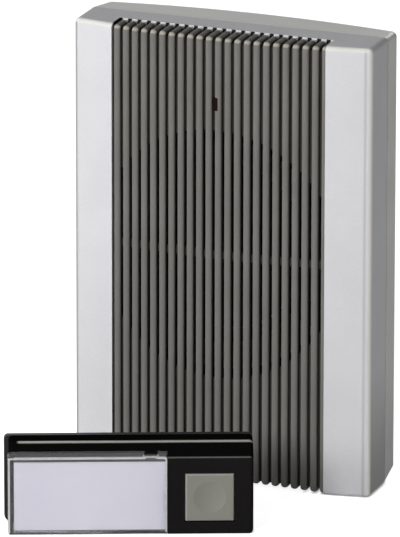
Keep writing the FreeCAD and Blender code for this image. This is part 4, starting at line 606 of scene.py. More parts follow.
@dataclass(frozen=True)
class SilverPaint(Finish):
    """Silver paint on a moulding: flakes, bare dark plastic where the paint doesn't reach inside, and
    painted highlight and shade near its edges.

    channel is the grille channel's middle, half width and rear wall, and ribs is the middle rib, the pitch
    and half the width of the silver spot behind each rib. right_line is where the painted shade line
    beside the right arris begins, is full, begins to fade and ends. left_line is counted from the left
    side, inside_mm from the nearest face, and the other pairs from the front.
    """

    # The unpainted plastic inside. On the channel's rear wall between the ribs the same dark is painted
    # shade, and on the channel's side walls it also stands in for their shade.
    bare: Colour = (0.02, 0.02, 0.02)
    # A painted highlight: the near-white colour along the top and right front arrises.
    highlight_colour: Colour = (0.96, 0.95, 0.90)
    # Painted shade: the dark grey of the line beside the right arris and of the line at the left edge.
    edge_shade: Colour = (0.30, 0.30, 0.31)
    flake_contrast: float = 0.12
    channel: tuple[float, float, float] = (GRILLE_MIDDLE, 43.2, -4.78)
    ribs: tuple[float, float, float] = (RIB_MIDDLE, RIB_PITCH, 1.1)
    # The strength of the painted arris highlight.
    rub: float = 0.9
    # The strengths of the painted shade lines at the right arris and at the left edge.
    right_shade: float = 0.35
    left_shade: float = 0.8
    right_line: tuple[float, float, float, float] = (1.7, 2.2, 2.7, 3.3)
    right_depth: Pair = (0.6, 1.2)
    left_line: Pair = (0.9, 1.7)
    left_depth: Pair = (1.5, 2.5)
    arris_mm: Pair = (0.8, 2.0)
    side_share: float = 1.3
    inside_mm: Pair = (3.3, 3.6)
    wall_depth: Pair = (2.0, 2.1)

    def lay_on(self, work: Surface) -> None:
        """Flakes, painted shade low on the sides, a painted highlight on the arrises with painted shade
        lines beside them, and the bare inside.

        Bare is where the least of the distances to the sides, the ends and the bowed front is more than a
        few millimetres; the same dark colour is painted shade on the channel's rear wall between the ribs.
        The painted highlight is where the front is near, and the right side or the top too.

        Args:
            work: the material being made.
        """
        paint = work.group(work.effects.flakes, {"Vector": work.place(), "Colour": work.colour,
                                                 "Contrast": self.flake_contrast})
        x, y, z = work.place_mm()
        right, left = work.minus(HALF_WIDTH, x), work.math("ADD", x, HALF_WIDTH)
        top, bow = work.minus(CHIME_HEIGHT, z), work.behind_front(x, y)
        # Bare plastic inside, which on the channel's side walls also stands in for their shade; the rear
        # wall gets painted shade between the ribs.
        deep = work.rise(work.least(right, left, bow, top, z), *self.inside_mm)
        wall = self.shaded_wall(work, x, y, bow)
        # A painted highlight along the top and right front arrises.
        rim = work.most(bow, work.least(work.times(right, self.side_share), top))
        arris = work.times(work.fall(rim, *self.arris_mm), self.rub)
        # Painted shade lines beside the right arris and at the left edge.
        start, full, end, gone = self.right_line
        beside = work.times(work.rise(right, start, full), work.fall(right, end, gone),
                            work.fall(bow, *self.right_depth), self.right_shade)
        edge = work.times(work.fall(left, *self.left_line), work.fall(bow, *self.left_depth),
                          self.left_shade)
        # The painted shade lines and the painted shade low on the sides go into the paint's colour.
        body = work.mix(work.most(beside, edge), work.shaded(paint.outputs["Colour"]), self.edge_shade)
        work.colour = work.mix(work.most(deep, wall), work.mix(arris, body, self.highlight_colour), self.bare)
        work.height = paint.outputs["Height"]
        work.bump = 0.6

    def shaded_wall(self, work: Surface, x: bpy.types.NodeSocket, y: bpy.types.NodeSocket,
                  bow: bpy.types.NodeSocket) -> bpy.types.NodeSocket:
        """Painted shade on the channel's rear wall between the ribs; behind each rib the wall keeps its
        paint.

        Args:
            work: the material being made.
            x: a point's x.
            y: its y.
            bow: how far it is behind the front.

        Returns:
            A mask that is 1 where the wall gets the painted shade.
        """
        middle, half, wall_y = self.channel
        first, pitch, half_rib = self.ribs
        across = work.math("ABSOLUTE", work.minus(x, middle))
        to_rib = work.math("PINGPONG", work.minus(x, first), 0.5 * pitch)
        return work.times(work.math("LESS_THAN", across, half), work.math("LESS_THAN", y, wall_y),
                          work.rise(bow, *self.wall_depth),
                          work.math("GREATER_THAN", to_rib, half_rib))


@dataclass(frozen=True)
class TopLitPaint(Finish):
    """Paint with painted shade low on its sides and a painted light that makes what faces up paler."""

    # A painted light: the pale colour laid over what faces up.
    painted_tone: Colour = (0.93, 0.93, 0.91)
    top_light: float = 0.95
    level: Pair = (0.5, 0.9)

    def lay_on(self, work: Surface) -> None:
        """Painted side shade, painted light by how level the surface is, and rub marks.

        Args:
            work: the material being made.
        """
        # Painted light: what faces up is made paler.
        top_light = work.times(work.rise(work.parts(work.normal())[2], *self.level), self.top_light)
        work.colour = work.mix(top_light, work.shaded(work.colour), self.painted_tone)
        work.scuff()


@dataclass(frozen=True)
class BlackMoulding(Finish):
    """Black moulding of the push: a painted highlight along its two long arrises, and painted shade on
    what faces up.

    Each arris is its depth behind the push's face, its height, how far the painted highlight reaches from
    it, and how strong it is; core is the share of that reach in which it is full. start_mm is where the
    highlight begins along the push, and level is how far up a surface faces where the painted shade begins
    and where it is full.
    """

    arrises: tuple[tuple[float, float, float, float], ...] = (
        (6.9, 34.4, 1.1, 1.0), (0.05, 30.2, 0.5, 0.25))
    core: float = 0.2
    start_mm: Pair = (-43.0, -41.5)
    level: Pair = (0.1, 0.4)
    # A painted highlight along the arrises, and painted shade, a deeper black, on what faces up.
    arris_highlight: Colour = (0.46, 0.45, 0.41)
    facing_up_shade: Colour = (0.005, 0.005, 0.0055)

    def lay_on(self, work: Surface) -> None:
        """Painted shade, a deeper black, on what faces up, and a coat and a painted highlight along the
        arrises.

        An arris's mask is 1 on its line and falls to 0 at its reach from it.

        Args:
            work: the material being made.
        """
        along, back, up = work.push_mm()
        masks = []
        for deep, high, reach, amount in self.arrises:
            away = [work.math("POWER", work.minus(at, line), 2.0)
                    for at, line in ((back, deep), (up, high))]
            far = work.math("SQRT", work.math("ADD", *away))
            masks.append(work.times(work.fall(far, self.core * reach, reach), amount))
        mask = work.times(work.most(*masks), work.rise(along, *self.start_mm))
        level = work.rise(work.parts(work.normal())[2], *self.level)
        # Painted shade on what faces up, then the painted highlight along the arrises.
        work.colour = work.mix(mask, work.mix(level, work.colour, self.facing_up_shade), self.arris_highlight)
        work.feeds["Coat Weight"] = mask
        work.scuff()


@dataclass(frozen=True)
class RibMoulding(Finish):
    """The grille's plastic: painted highlights on the shoulders and rear ends, and painted shade in the
    grooves and on the tops.
    """

    # Painted highlights: the paler colour on the shoulders and the near-white at the ribs' rear ends.
    highlight_colour: Colour = (0.50, 0.475, 0.40)
    pale: Colour = (0.96, 0.95, 0.91)
    # Painted shade: the dark colour of the grooves and the level tops, and the darker one of the slots'
    # walls.
    painted_tone: Colour = (0.058, 0.055, 0.048)
    inside: Colour = (0.008, 0.0075, 0.007)
    top_mm: float = CHIME_HEIGHT - RIB_SINK
    level_mm: Pair = (0.5, 1.2)
    groove_mm: Pair = (0.7, 1.9)
    inside_mm: Pair = (2.05, 2.25)
    shoulder_mm: Pair = (0.8, 1.6)
    end_mm: Pair = (GRILLE_REAR - 2.2, GRILLE_REAR - 1.6)
    # The share of the grooves' painted shade that is also laid on the level tops.
    rib_top_shade: float = 0.7

    def lay_on(self, work: Surface) -> None:
        """Four masks that follow the bowed front and the flat top.

        The shoulder's painted highlight is where a point is near both surfaces, the grooves' painted shade
        is where it is far from both and on the level tops, the slots' walls get a darker painted shade
        deeper still, and the painted highlight at the pale end is the last few millimetres before the
        ribs' rear end.

        Args:
            work: the material being made.
        """
        x, y, z = work.place_mm()
        bow, top = work.behind_front(x, y), work.minus(self.top_mm, z)
        depth = work.least(bow, top, z)
        level = work.fall(top, *self.level_mm)
        groove = work.most(work.rise(depth, *self.groove_mm), work.times(level, self.rib_top_shade))
        end = work.times(work.rise(y, *self.end_mm), level)
        # In order: painted shade in the grooves and on the tops, darker painted shade on the slots' walls,
        # the shoulders' painted highlight and the painted highlight at the rear ends.
        for mask, colour in ((groove, self.painted_tone),
                             (work.rise(depth, *self.inside_mm), self.inside),
                             (work.fall(work.most(bow, top), *self.shoulder_mm), self.highlight_colour),
                             (end, self.pale)):
            work.colour = work.mix(mask, work.colour, colour)


@dataclass(frozen=True)
class ButtonMoulding(Finish):
    """The push's button: a painted highlight on its left and top edges."""

    left_mm: float = 20.3
    top_mm: float = 23.65
    rim_mm: Pair = (0.36, 0.9)
    # A painted highlight on the left and top edges: its colour and its strength.
    highlight_colour: Colour = (0.40, 0.395, 0.36)
    rub: float = 0.6

    def lay_on(self, work: Surface) -> None:
        """A painted highlight where the left or the top edge is near.

        Args:
            work: the material being made.
        """
        along, _, up = work.push_mm()
        edge = work.least(work.minus(along, self.left_mm), work.minus(self.top_mm, up))
        rim = work.times(work.fall(edge, *self.rim_mm), self.rub)
        work.colour = work.mix(rim, work.colour, self.highlight_colour)


@dataclass(frozen=True)
class ClearMoulding(Finish):
    """Clear or tinted moulded plastic, with faint flow lines."""

    ior: float = 1.5
    clear: float = 1.0

    def lay_on(self, work: Surface) -> None:
        """Light passes through, with a slight waver in the surface.

        Args:
            work: the material being made.
        """
        work.feed(work.shader.inputs["Transmission Weight"], self.clear)
        work.feed(work.shader.inputs["IOR"], self.ior)
        work.bump = 0.3


@dataclass(frozen=True)
class Metal(Finish):
    """Plated or rolled metal with brush lines."""

    metallic: float = 1.0


@dataclass(frozen=True)
class Card(Finish):
    """Paper or card: short fibres in the colour and the height."""

    fibre_scale: float = 2600.0
    fibre_stretch: tuple[float, float, float] = (1.0, 1.0, 0.22)
    fibre_edges: Pair = (0.42, 0.7)
    fibre_share: float = 0.35

    def lay_on(self, work: Surface) -> None:
        """A second noise, stretched into fibres.

        Args:
            work: the material being made.
        """
        fibre = work.add("ShaderNodeTexNoise", {"Vector": work.place(self.fibre_stretch),
                                                "Scale": self.fibre_scale, "Detail": 5.0}).outputs[0]
        share = work.times(work.rise(fibre, *self.fibre_edges), self.fibre_share)
        work.colour = work.mix(share, work.colour, self.second)
        work.height = work.math("ADD", work.height, fibre)
        work.bump = 0.5


@dataclass(frozen=True)
class Banded(Finish):
    """Threads side by side: bands across each axis named, a thread's width apart."""

    thread_mm: float = 0.2
    ways: tuple[str, ...] = ("Y",)

    def lay_on(self, work: Surface) -> None:
        """The largest of the bands gives the colour and the height.

        Args:
            work: the material being made.
        """
        scale = 0.5 / (self.thread_mm * MM) / math.pi
        bands = work.most(*(work.add("ShaderNodeTexWave", {"Vector": work.place(), "Scale": scale},
                                     wave_type="BANDS", bands_direction=way).outputs[1]
                            for way in self.ways))
        work.colour = work.mix(bands, self.second, work.colour)
        work.height = bands


@dataclass(frozen=True)
class CircuitBoard(Finish):
    """Solder mask over copper: tracks a little lighter and raised, and small tinned vias."""

    tin: Colour = (0.72, 0.70, 0.66)
    run_mm: float = 6.2
    row_mm: float = 2.1
    track_mm: float = 0.3
    via_scale: float = 230.0
    via_edges: Pair = (0.10, 0.13)

    def lay_on(self, work: Surface) -> None:
        """A brick pattern gives the tracks and a cell pattern gives the vias.

        Args:
            work: the material being made.
        """
        flat = work.add("ShaderNodeMapping", {"Vector": work.place(), "Rotation": (math.pi / 2, 0.0, 0.0)})
        tracks = work.add("ShaderNodeTexBrick", {
            "Vector": flat.outputs[0], "Scale": 1.0, "Mortar Size": self.track_mm * MM,
            "Brick Width": self.run_mm * MM, "Row Height": self.row_mm * MM,
            "Mortar Smooth": 0.1}).outputs["Fac"]
        cells = work.add("ShaderNodeTexVoronoi", {"Vector": work.place(), "Scale": self.via_scale})
        vias = work.fall(cells.outputs["Distance"], *self.via_edges)
        work.colour = work.mix(vias, work.mix(tracks, work.colour, self.second), self.tin)
        work.feeds["Metallic"] = vias
        work.height = work.math("ADD", tracks, vias)


@dataclass(frozen=True)
class CellSleeve(Finish):
    """A cell's printed sleeve: a band of another colour at its plus end, and bare metal ends."""

    upright: bool = True
    low_mm: float = 9.5
    length_mm: float = 50.5
    bare: Colour = (0.66, 0.65, 0.62)
    shade: float = 0.8
    minus_tip: Pair = (0.008, 0.011)
    band: Pair = (0.73, 0.735)
    plus_tip: Pair = (0.965, 0.968)

    def lay_on(self, work: Surface) -> None:
        """The colours depend on how far a point is along the cell, from 0 at its minus end to 1.

        Args:
            work: the material being made.
        """
        work.feed(work.grain.inputs["Second Colour"], [self.shade * c for c in self.colour])
        ends = (self.low_mm, self.low_mm + self.length_mm)
        minus, plus = ends if self.upright else reversed(ends)
        run = work.add("ShaderNodeMapRange", {"Value": work.place_mm()[2], "From Min": minus,
                                              "From Max": plus}).outputs[0]
        tips = work.most(work.rise(run, *self.plus_tip), work.fall(run, *self.minus_tip))
        band = work.mix(work.rise(run, *self.band), work.colour, self.second)
        work.colour = work.mix(tips, band, self.bare)
        work.feeds["Metallic"] = tips
        work.bump = 0.4


def cell_sleeve(number: int) -> CellSleeve:
    """The sleeve of a numbered cell: the odd ones stand upright, the even ones are turned over.

    Args:
        number: the cell's number, from 1.

    Returns:
        Its finish.
    """
    upright = number % 2 == 1
    return CellSleeve("cell sleeve " + ("up" if upright else "down"), (0.035, 0.06, 0.12),
                      (0.50, 0.50, 0.52), roughness=0.28, spread=0.06, grain_mm=0.6, depth_mm=0.003,
                      upright=upright, low_mm=12.5 if upright else 9.5)


SILVER = SilverPaint("silver paint", (0.785, 0.785, 0.815), (0.745, 0.745, 0.775), roughness=0.42,
                     spread=0.05, grain_mm=0.35, depth_mm=0.004, specular=0.03)
REAR_PAINT = TopLitPaint("rear shell paint", (0.61, 0.61, 0.59), (0.57, 0.57, 0.55), roughness=0.38,
                         spread=0.05, depth_mm=0.005, specular=0.07)
RIB_PLASTIC = RibMoulding("grille plastic", (0.212, 0.207, 0.194), (0.184, 0.179, 0.167), roughness=0.42,
                          spread=0.08, grain_mm=0.22, depth_mm=0.008, specular=0.06)
BLACK_PLASTIC = BlackMoulding("black plastic", (0.0155, 0.0143, 0.0150), (0.0135, 0.0125, 0.0131),
                              roughness=0.3, spread=0.05, depth_mm=0.002, coat_roughness=0.18,
                              specular=0.0)
BASE_PLASTIC = Finish("base plate plastic", (0.020, 0.020, 0.020), (0.015, 0.015, 0.015), grain_mm=0.25,
                      specular=0.25)
BUTTON_PLASTIC = ButtonMoulding("button plastic", (0.255, 0.252, 0.217), (0.235, 0.232, 0.20),
                                roughness=0.48, spread=0.06, grain_mm=0.2, depth_mm=0.006)
COVER_PLASTIC = ClearMoulding("clear cover", (0.98, 0.985, 0.99), (0.96, 0.965, 0.975), roughness=0.02,
                              spread=0.015, grain_mm=3.0, depth_mm=0.004, ior=1.49)
LENS_PLASTIC = ClearMoulding("tinted lens", (0.014, 0.003, 0.003), (0.011, 0.0022, 0.0025),
                             roughness=0.16, spread=0.04, grain_mm=0.6, depth_mm=0.004, clear=0.05,
                             specular=0.02)
# The pale finish of the strips that paint the highlights on the clear cover's edges.
COVER_GLINT = Finish("painted cover glint", (0.66, 0.64, 0.66), (0.56, 0.545, 0.56), roughness=0.7, grain_mm=0.9)

SLOT_FINISHES: dict[str, Finish] = {
    "silver": SILVER,
    "grille": RIB_PLASTIC,
    "rear_shell": REAR_PAINT,
    "contact": Metal("nickel plate", (0.72, 0.70, 0.66), (0.62, 0.60, 0.56), roughness=0.28, spread=0.12,
                     grain_mm=0.2, depth_mm=0.006, lay=Lay.ALONG_X),
    "wire": Finish("wire jacket", (0.42, 0.03, 0.025), (0.34, 0.022, 0.02), roughness=0.45, grain_mm=0.5),
    "clear": COVER_PLASTIC,
    "lens": LENS_PLASTIC,
    "led": ClearMoulding("LED epoxy", (0.62, 0.05, 0.04), (0.52, 0.04, 0.035), roughness=0.08,
                         spread=0.04, grain_mm=0.8, depth_mm=0.005),
    "steel": Metal("zinc plate", (0.60, 0.60, 0.61), (0.50, 0.51, 0.53), roughness=0.34, spread=0.14,
                   grain_mm=0.5, depth_mm=0.008),
    "ferrite": Finish("ferrite", (0.035, 0.034, 0.035), (0.022, 0.022, 0.023), roughness=0.62,
                      spread=0.2, grain_mm=0.18, depth_mm=0.03),
    "cone": Card("pressed cone", (0.03, 0.029, 0.028), (0.02, 0.019, 0.018), roughness=0.85,
                 depth_mm=0.04),
    "surround": Banded("doped cloth", (0.028, 0.028, 0.03), (0.014, 0.014, 0.015), roughness=0.7,
                       depth_mm=0.05, thread_mm=0.35, ways=("X", "Z")),
    "copper": Banded("copper wire", (0.72, 0.36, 0.17), (0.42, 0.17, 0.07), roughness=0.3, metallic=1.0,
                     grain_mm=0.4, depth_mm=0.05),
    "board": CircuitBoard("circuit board", (0.02, 0.16, 0.055), (0.035, 0.24, 0.085), roughness=0.35,
                          grain_mm=0.5, depth_mm=0.03),
    "chip": Finish("chip epoxy", (0.018, 0.018, 0.018), (0.012, 0.012, 0.012), roughness=0.55,
                   grain_mm=0.15, depth_mm=0.012),
    "black": BLACK_PLASTIC,
    "control": Finish("control plastic", (0.035, 0.035, 0.036), (0.026, 0.026, 0.027), grain_mm=0.22,
                      depth_mm=0.012),
    "label": Card("label card", (0.69, 0.675, 0.765), (0.655, 0.64, 0.73), roughness=0.8, spread=0.08,
                  grain_mm=0.25),
    "button": BUTTON_PLASTIC,
    "pad": Finish("rubber pad", (0.05, 0.05, 0.05), (0.035, 0.035, 0.035), roughness=0.8, grain_mm=0.25,
                  depth_mm=0.02),
}
NODE_FINISHES: dict[str, Finish] = {"light_guide": LENS_PLASTIC, "push_base": BASE_PLASTIC}


# Chime

@dataclass
class RibbedGrille:
    """The grille: a bowed sheet with slots, and ribs that wrap over its top and bottom."""

    height: float = CHIME_HEIGHT
    crown_y: float = CROWN_Y
    bow_r: float = BOW_RADIUS
    left: float = -43.78
    right: float = 42.18
    rear: float = GRILLE_REAR
    sink: float = RIB_SINK
    shoulder: float = 1.7
    arch: float = 1.5
    half_opening: float = 43.1
    rib_count: int = 23
    rib_pitch: float = RIB_PITCH
    rib_middle: float = RIB_MIDDLE
    rib_half: float = 1.275
    rib_height: float = 2.0
    crown: float = 0.36
    corner: float = 0.5
    root: float = 0.4
    end_round: float = 1.2
    end_close: float = 0.985
    end_drop: float = 0.9
    end_steps: int = 7
    level_run: float = 2.4
    turn_steps: int = 11
    crest_steps: int = 17
    sheet_t: float = 1.5
    sheet_shoulder: float = 0.6
    sheet_steps: int = 5
    slot_half: float = 0.55
    slot_circle: float = 49.0
    slot_z: float = 91.0
    slot_x: float = GRILLE_MIDDLE
    slot_bar: float = 1.6
    window: tuple[float, float, float, float] = (-1.81, 0.21, 148.24, 153.36)
    window_cut: Pair = (-1.0, 5.0)

    def front_y(self, x: np.ndarray) -> np.ndarray:
        """The bowed front: a circle round a line far behind the chime."""
        return self.crown_y + self.bow_r - np.sqrt(self.bow_r ** 2 - x ** 2)

    def middles(self, count: int) -> np.ndarray:
        """The places of so many ribs, or of the grooves between them, on both sides of the middle."""
        return self.rib_middle + (np.arange(count) - (count - 1) / 2) * self.rib_pitch

    def path(self, x: np.ndarray) -> tuple[np.ndarray, np.ndarray, np.ndarray]:
        """The line that a rib's crest follows in its own upright plane.

        From the rear end it runs level along the top, turns through a quarter circle, runs down the
        front, turns again and runs back along the underside, which is arched from side to side.

        Args:
            x: the ribs' middles.

        Returns:
            Points as ribs by rows by (y, z), the outward normals likewise, and each row's distance
            from the nearer end.
        """
        y0 = self.front_y(x)[:, None]
        high, r = self.height - self.sink, self.shoulder
        low = self.sink + self.arch * (1 - ((x - self.slot_x) / self.half_opening) ** 2)[:, None]
        steps = self.end_round * (1 - np.cos(np.linspace(0, math.pi / 2, self.end_steps)))
        turn = np.linspace(0, math.pi / 2, self.turn_steps)
        ones = np.ones_like(y0)
        level = len(steps) + 1
        run_y = np.concatenate([ones * (self.rear - steps), ones * (self.rear - self.level_run),
                                y0 + r - r * np.sin(turn)], 1)
        run_z = ones * np.concatenate([np.full(level, high), high - r + r * np.cos(turn)])
        normal_y = ones * np.concatenate([np.zeros(level), -np.sin(turn)])
        normal_z = ones * np.concatenate([np.ones(level), np.cos(turn)])
        reach = ones * np.concatenate([steps, np.full(len(turn) + 1, self.end_round)])
        points = np.stack([there_and_back(run_y, run_y), there_and_back(run_z, high + low - run_z)], -1)
        normals = np.stack([there_and_back(normal_y, normal_y), there_and_back(normal_z, -normal_z)], -1)
        return points, normals, there_and_back(reach, reach)

    def profile(self) -> tuple[np.ndarray, np.ndarray]:
        """A rib's cross-section: a crowned crest whose corners are rounded, on two straight sides.

        Across the rib the crest falls by the crown times the square of the share of the half width,
        and by the corner times a fourth-power curve that turns into the side.

        Returns:
            The points' places across the rib and their heights, zero at the middle of the crest.
        """
        share = np.sin(np.linspace(-math.pi / 2, math.pi / 2, self.crest_steps))
        fall = 1 - (1 - np.abs(share) ** 4) ** 0.25
        height = -self.crown * share ** 2 - self.corner * fall
        foot = -self.rib_height - self.root
        across = np.concatenate([[-1.0], share, [1.0]]) * self.rib_half
        return across, np.concatenate([[foot], height, [foot]])

    def ribs(self, sheet: Sheet) -> None:
        """Adds every rib: its profile carried along its path, drawn in to a rounded rear end.

        Towards an end the width narrows as a circle does, and the crest sinks with it. The foot stays
        inside the sheet.

        Args:
            sheet: where they go.
        """
        middle = self.middles(self.rib_count)
        points, normals, reach = self.path(middle)
        across, height = self.profile()
        share = self.end_close * (1 - reach / self.end_round)
        narrow = np.sqrt(np.clip(1 - share ** 2, 0, 1))[:, :, None]
        level = np.minimum(height, height.max() - self.end_drop * (1 - narrow))
        x = np.clip(middle[:, None, None] + across * narrow, self.left, self.right)
        y, z = (points[..., axis, None] + normals[..., axis, None] * level for axis in (0, 1))
        depth = self.rib_height + self.root
        foot = height < -self.rib_height
        y = np.where(foot, np.maximum(y, self.front_y(middle)[:, None, None] + depth), y)
        z = np.where(foot, np.clip(z, self.sink + depth, self.height - self.sink - depth), z)
        for rings in np.stack([x, y, z], -1):
            sheet.tube(rings)

    def sheet_grid(self) -> tuple[np.ndarray, np.ndarray, np.ndarray]:
        """The sheet's columns and rows, with a line at each slot's sides and ends.

        Returns:
            The columns' x, the front rows' z from top to bottom, and for each cell between them
            whether it is solid.
        """
        middle = self.middles(self.rib_count - 1)
        columns = np.unique(np.round(np.concatenate([
            [self.left, self.right], middle - self.slot_half, middle + self.slot_half]), 4))
        chord = np.sqrt(np.clip(self.slot_circle ** 2 - (middle - self.slot_x) ** 2, 0, None))
        ends = chord[chord > self.slot_bar]
        inset = self.sink + self.rib_height + self.sheet_shoulder
        limits = [self.slot_z - self.slot_bar, self.slot_z + self.slot_bar, self.height - inset, inset]
        rows = np.concatenate([self.slot_z + ends, self.slot_z - ends, limits])
        rows = np.unique(np.round(rows, 4))[::-1]
        cell_x, cell_z = ((lines[:-1] + lines[1:]) / 2 for lines in (columns, rows))
        near = np.argmin(np.abs(cell_x[:, None] - middle), 1)
        in_groove = np.abs(cell_x - middle[near]) < self.slot_half
        from_bar = np.abs(cell_z - self.slot_z)[:, None]
        slot = in_groove & (from_bar < chord[near]) & (from_bar > self.slot_bar)
        return columns, rows, ~slot

    def backing(self, sheet: Sheet) -> None:
        """Adds the slotted sheet that the ribs stand on, with its thickness.

        Its outside follows the ribs' path, sunk by their height; its inside is the outside clamped
        into the block that is smaller by the sheet's thickness. A wall closes each cell's side that
        has no solid neighbour.

        Args:
            sheet: where it goes.
        """
        columns, rows, solid = self.sheet_grid()
        inset, r = self.sink + self.rib_height, self.sheet_shoulder
        high = self.height - inset
        y0 = self.front_y(columns)[None] + self.rib_height
        turn = np.linspace(0, math.pi / 2, self.sheet_steps)[:-1, None]
        lead_y = np.concatenate([np.full((1, len(columns)), self.rear), y0 + r - r * np.sin(turn)])
        lead_z = np.concatenate([[[high]], high - r + r * np.cos(turn)]) * np.ones_like(lead_y)
        front_y = y0 + np.zeros((len(rows), 1))
        front_z = rows[:, None] * np.ones_like(front_y)
        y = np.concatenate([lead_y, front_y, lead_y[::-1]])
        z = np.concatenate([lead_z, front_z, self.height - lead_z[::-1]])
        outer = np.stack([columns + np.zeros_like(y), y, z], -1)
        inner = outer.copy()
        inner[..., 1] = np.maximum(y, y0 + self.sheet_t)
        inner[..., 2] = np.clip(z, inset + self.sheet_t, high - self.sheet_t)
        n, m = y.shape
        mask = np.ones((n - 1, m - 1), bool)
        mask[len(lead_y):len(lead_y) + len(solid)] = solid
        quad = grid_quads(n, m).reshape(n - 1, m - 1, 4)
        faces = [quad[mask], quad[mask][:, ::-1] + n * m]
        padded = np.pad(mask, 1)
        sides = ((padded[1:-1, :-2], 0, 3), (padded[1:-1, 2:], 2, 1),
                 (padded[:-2, 1:-1], 1, 0), (padded[2:, 1:-1], 3, 2))
        for neighbour, a, b in sides:
            first, last = quad[mask & ~neighbour][:, (a, b)].T
            faces.append(np.stack([first, last, last + n * m, first + n * m], -1))
        sheet.add(np.stack([outer, inner]), np.concatenate(faces))

    def build(self, material: bpy.types.Material) -> None:
        """Makes the ribs and the slotted sheet, and cuts the light window into both.

        Args:
            material: the grille's plastic.
        """
        left, right, low, high = self.window
        front, back = (self.crown_y + depth for depth in self.window_cut)
        for name, fill in (("grille_ribs", self.ribs), ("grille_sheet", self.backing)):
            sheet = Sheet()
            fill(sheet)
            piece = sheet.piece(name)
            cut_away(piece, (left, front, low), (right, back, high))
            dress(piece, material, Body.CHIME, ["grille"])


# Push

@dataclass
class CoverGlints:
    """Painted highlights on the clear cover's edges: round its front plate and round its catch notch.

    They are thin strips inside the clear plastic. The places are the push's own: u along it, v from its
    face to its back, z up.
    """

    left: float = -46.1
    right: float = 13.40
    low: float = 0.9
    high: float = 30.35
    left_bar: float = 0.7
    right_bar: float = 0.6
    top_bar: float = 0.65
    corner: float = 0.5
    corner_steps: int = 6
    front: float = -0.2
    thick: float = 0.12
    notch: Pair = (4.45, 10.35)
    notch_front: float = 0.5
    notch_back: float = 2.3
    notch_bar: float = 0.5
    notch_corners: Pair = (0.4, 0.2)
    notch_z: float = 30.2
    window: tuple[float, float, float, float] = (5.4, 9.4, 29.5, 30.15)

    def line(self, left: float, right: float, low: float, high: float, corner: float) -> np.ndarray:
        """An outline up the left side, along the far side through two quarter circles, and back.

        Args:
            left: the first side's place.
            right: the last side's place.
            low: where both sides begin and end.
            high: the far side's place, above or below low.
            corner: the radius at the two far corners.

        Returns:
            An array of places in the strip's plane.
        """
        turn = np.linspace(0, math.pi / 2, self.corner_steps)
        way = math.copysign(corner, high - low)
        up = np.stack([left + corner - corner * np.cos(turn), high - way + way * np.sin(turn)], -1)
        down = np.stack([right - corner + corner * np.sin(turn), high - way + way * np.cos(turn)], -1)
        return np.concatenate([[[left, low]], up, down, [[right, low]]])

    def strip(self, outer: np.ndarray, inner: np.ndarray, level: float, upright: bool) -> Sheet:
        """A thin four-sided section carried along two outlines.

        Args:
            outer: the outer outline.
            inner: the inner outline, with as many points.
            level: where the strip's plane is.
            upright: True where the plane is u and z, False where it is u and v.

        Returns:
            The strip, in the push's own places.
        """
        rings = []
        for edge, depth in ((outer, 0.0), (inner, 0.0), (inner, self.thick), (outer, self.thick)):
            far = np.full(len(edge), level + depth)
            order = (edge[:, 0], far, edge[:, 1]) if upright else (edge[:, 0], edge[:, 1], far)
            rings.append(np.stack(order, -1))
        sheet = Sheet()
        sheet.tube(np.stack(rings, 1))
        return sheet

    def place(self, piece: bpy.types.Object, material: bpy.types.Material) -> None:
        """Turns a strip's mesh to the push's angle and gives it its finish and body.

        Args:
            piece: the strip.
            material: the pale finish of the painted highlight strips.
        """
        turn = Matrix.Rotation(math.radians(PUSH_TURN), 4, "Z")
        x, y = PUSH_PLACE
        piece.data.transform(Matrix.Translation((x * MM, y * MM, 0.0)) @ turn)
        dress(piece, material, Body.NAME_COVER)

    def build(self, material: bpy.types.Material) -> None:
        """Makes both strips, and cuts the window where the catch shows through the front one.

        Args:
            material: the pale finish of the painted highlight strips.
        """
        outer = self.line(self.left, self.right, self.low, self.high, self.corner)
        inner = self.line(self.left + self.left_bar, self.right - self.right_bar, self.low,
                          self.high - self.top_bar, self.corner)
        front = self.strip(outer, inner, self.front, True).piece("cover_glint_strip")
        u0, u1, z0, z1 = self.window
        cut_away(front, (u0, self.front - 1, z0), (u1, self.front + 1, z1))
        self.place(front, material)
        outer, inner = (self.line(self.notch[0] + bar, self.notch[1] - bar, self.notch_back,
                                  self.notch_front + bar, corner)
                        for bar, corner in zip((0.0, self.notch_bar), self.notch_corners))
        self.place(self.strip(outer, inner, self.notch_z, False).piece("cover_notch_glint"), material)


# Setting

def bearing(azimuth: float, elevation: float) -> Vector:
    """The direction at an angle round from the front and an angle up from level, in degrees."""
    a, e = math.radians(azimuth), math.radians(elevation)
    return Vector((math.sin(a) * math.cos(e), -math.cos(a) * math.cos(e), math.sin(e)))


@dataclass
class PhotoCamera:
    """The camera at the photograph's angle. Its clip distances are metres."""

    azimuth: float = 21.05
    elevation: float = 17.48
    roll: float = 0.07
    lens: float = 590.3
    sensor: float = 36.0
    distance: float = 3340.0
    target: tuple[float, float, float] = (-8.9, -11.3, 83.6)
    clip: Pair = (0.05, 50.0)

    def build(self) -> None:
        """Places the camera from its angles, back along its own view line from the target."""
        back = bearing(self.azimuth, self.elevation)
        right = bearing(self.azimuth + 90.0, 0.0)
        up = back.cross(right)
        c, s = math.cos(math.radians(self.roll)), math.sin(math.radians(self.roll))
        right, up = right * c + up * s, up * c - right * s
        data = bpy.data.cameras.new("photo camera")
        data.lens = self.lens
        data.sensor_width = self.sensor
        data.dof.use_dof = False
        data.clip_start, data.clip_end = self.clip
        camera = add_object("photo camera", data)
        place = Matrix.Translation((Vector(self.target) + back * self.distance) * MM)
        camera.matrix_world = place @ Matrix((right, up, back)).transposed().to_4x4()
        bpy.context.scene.camera = camera


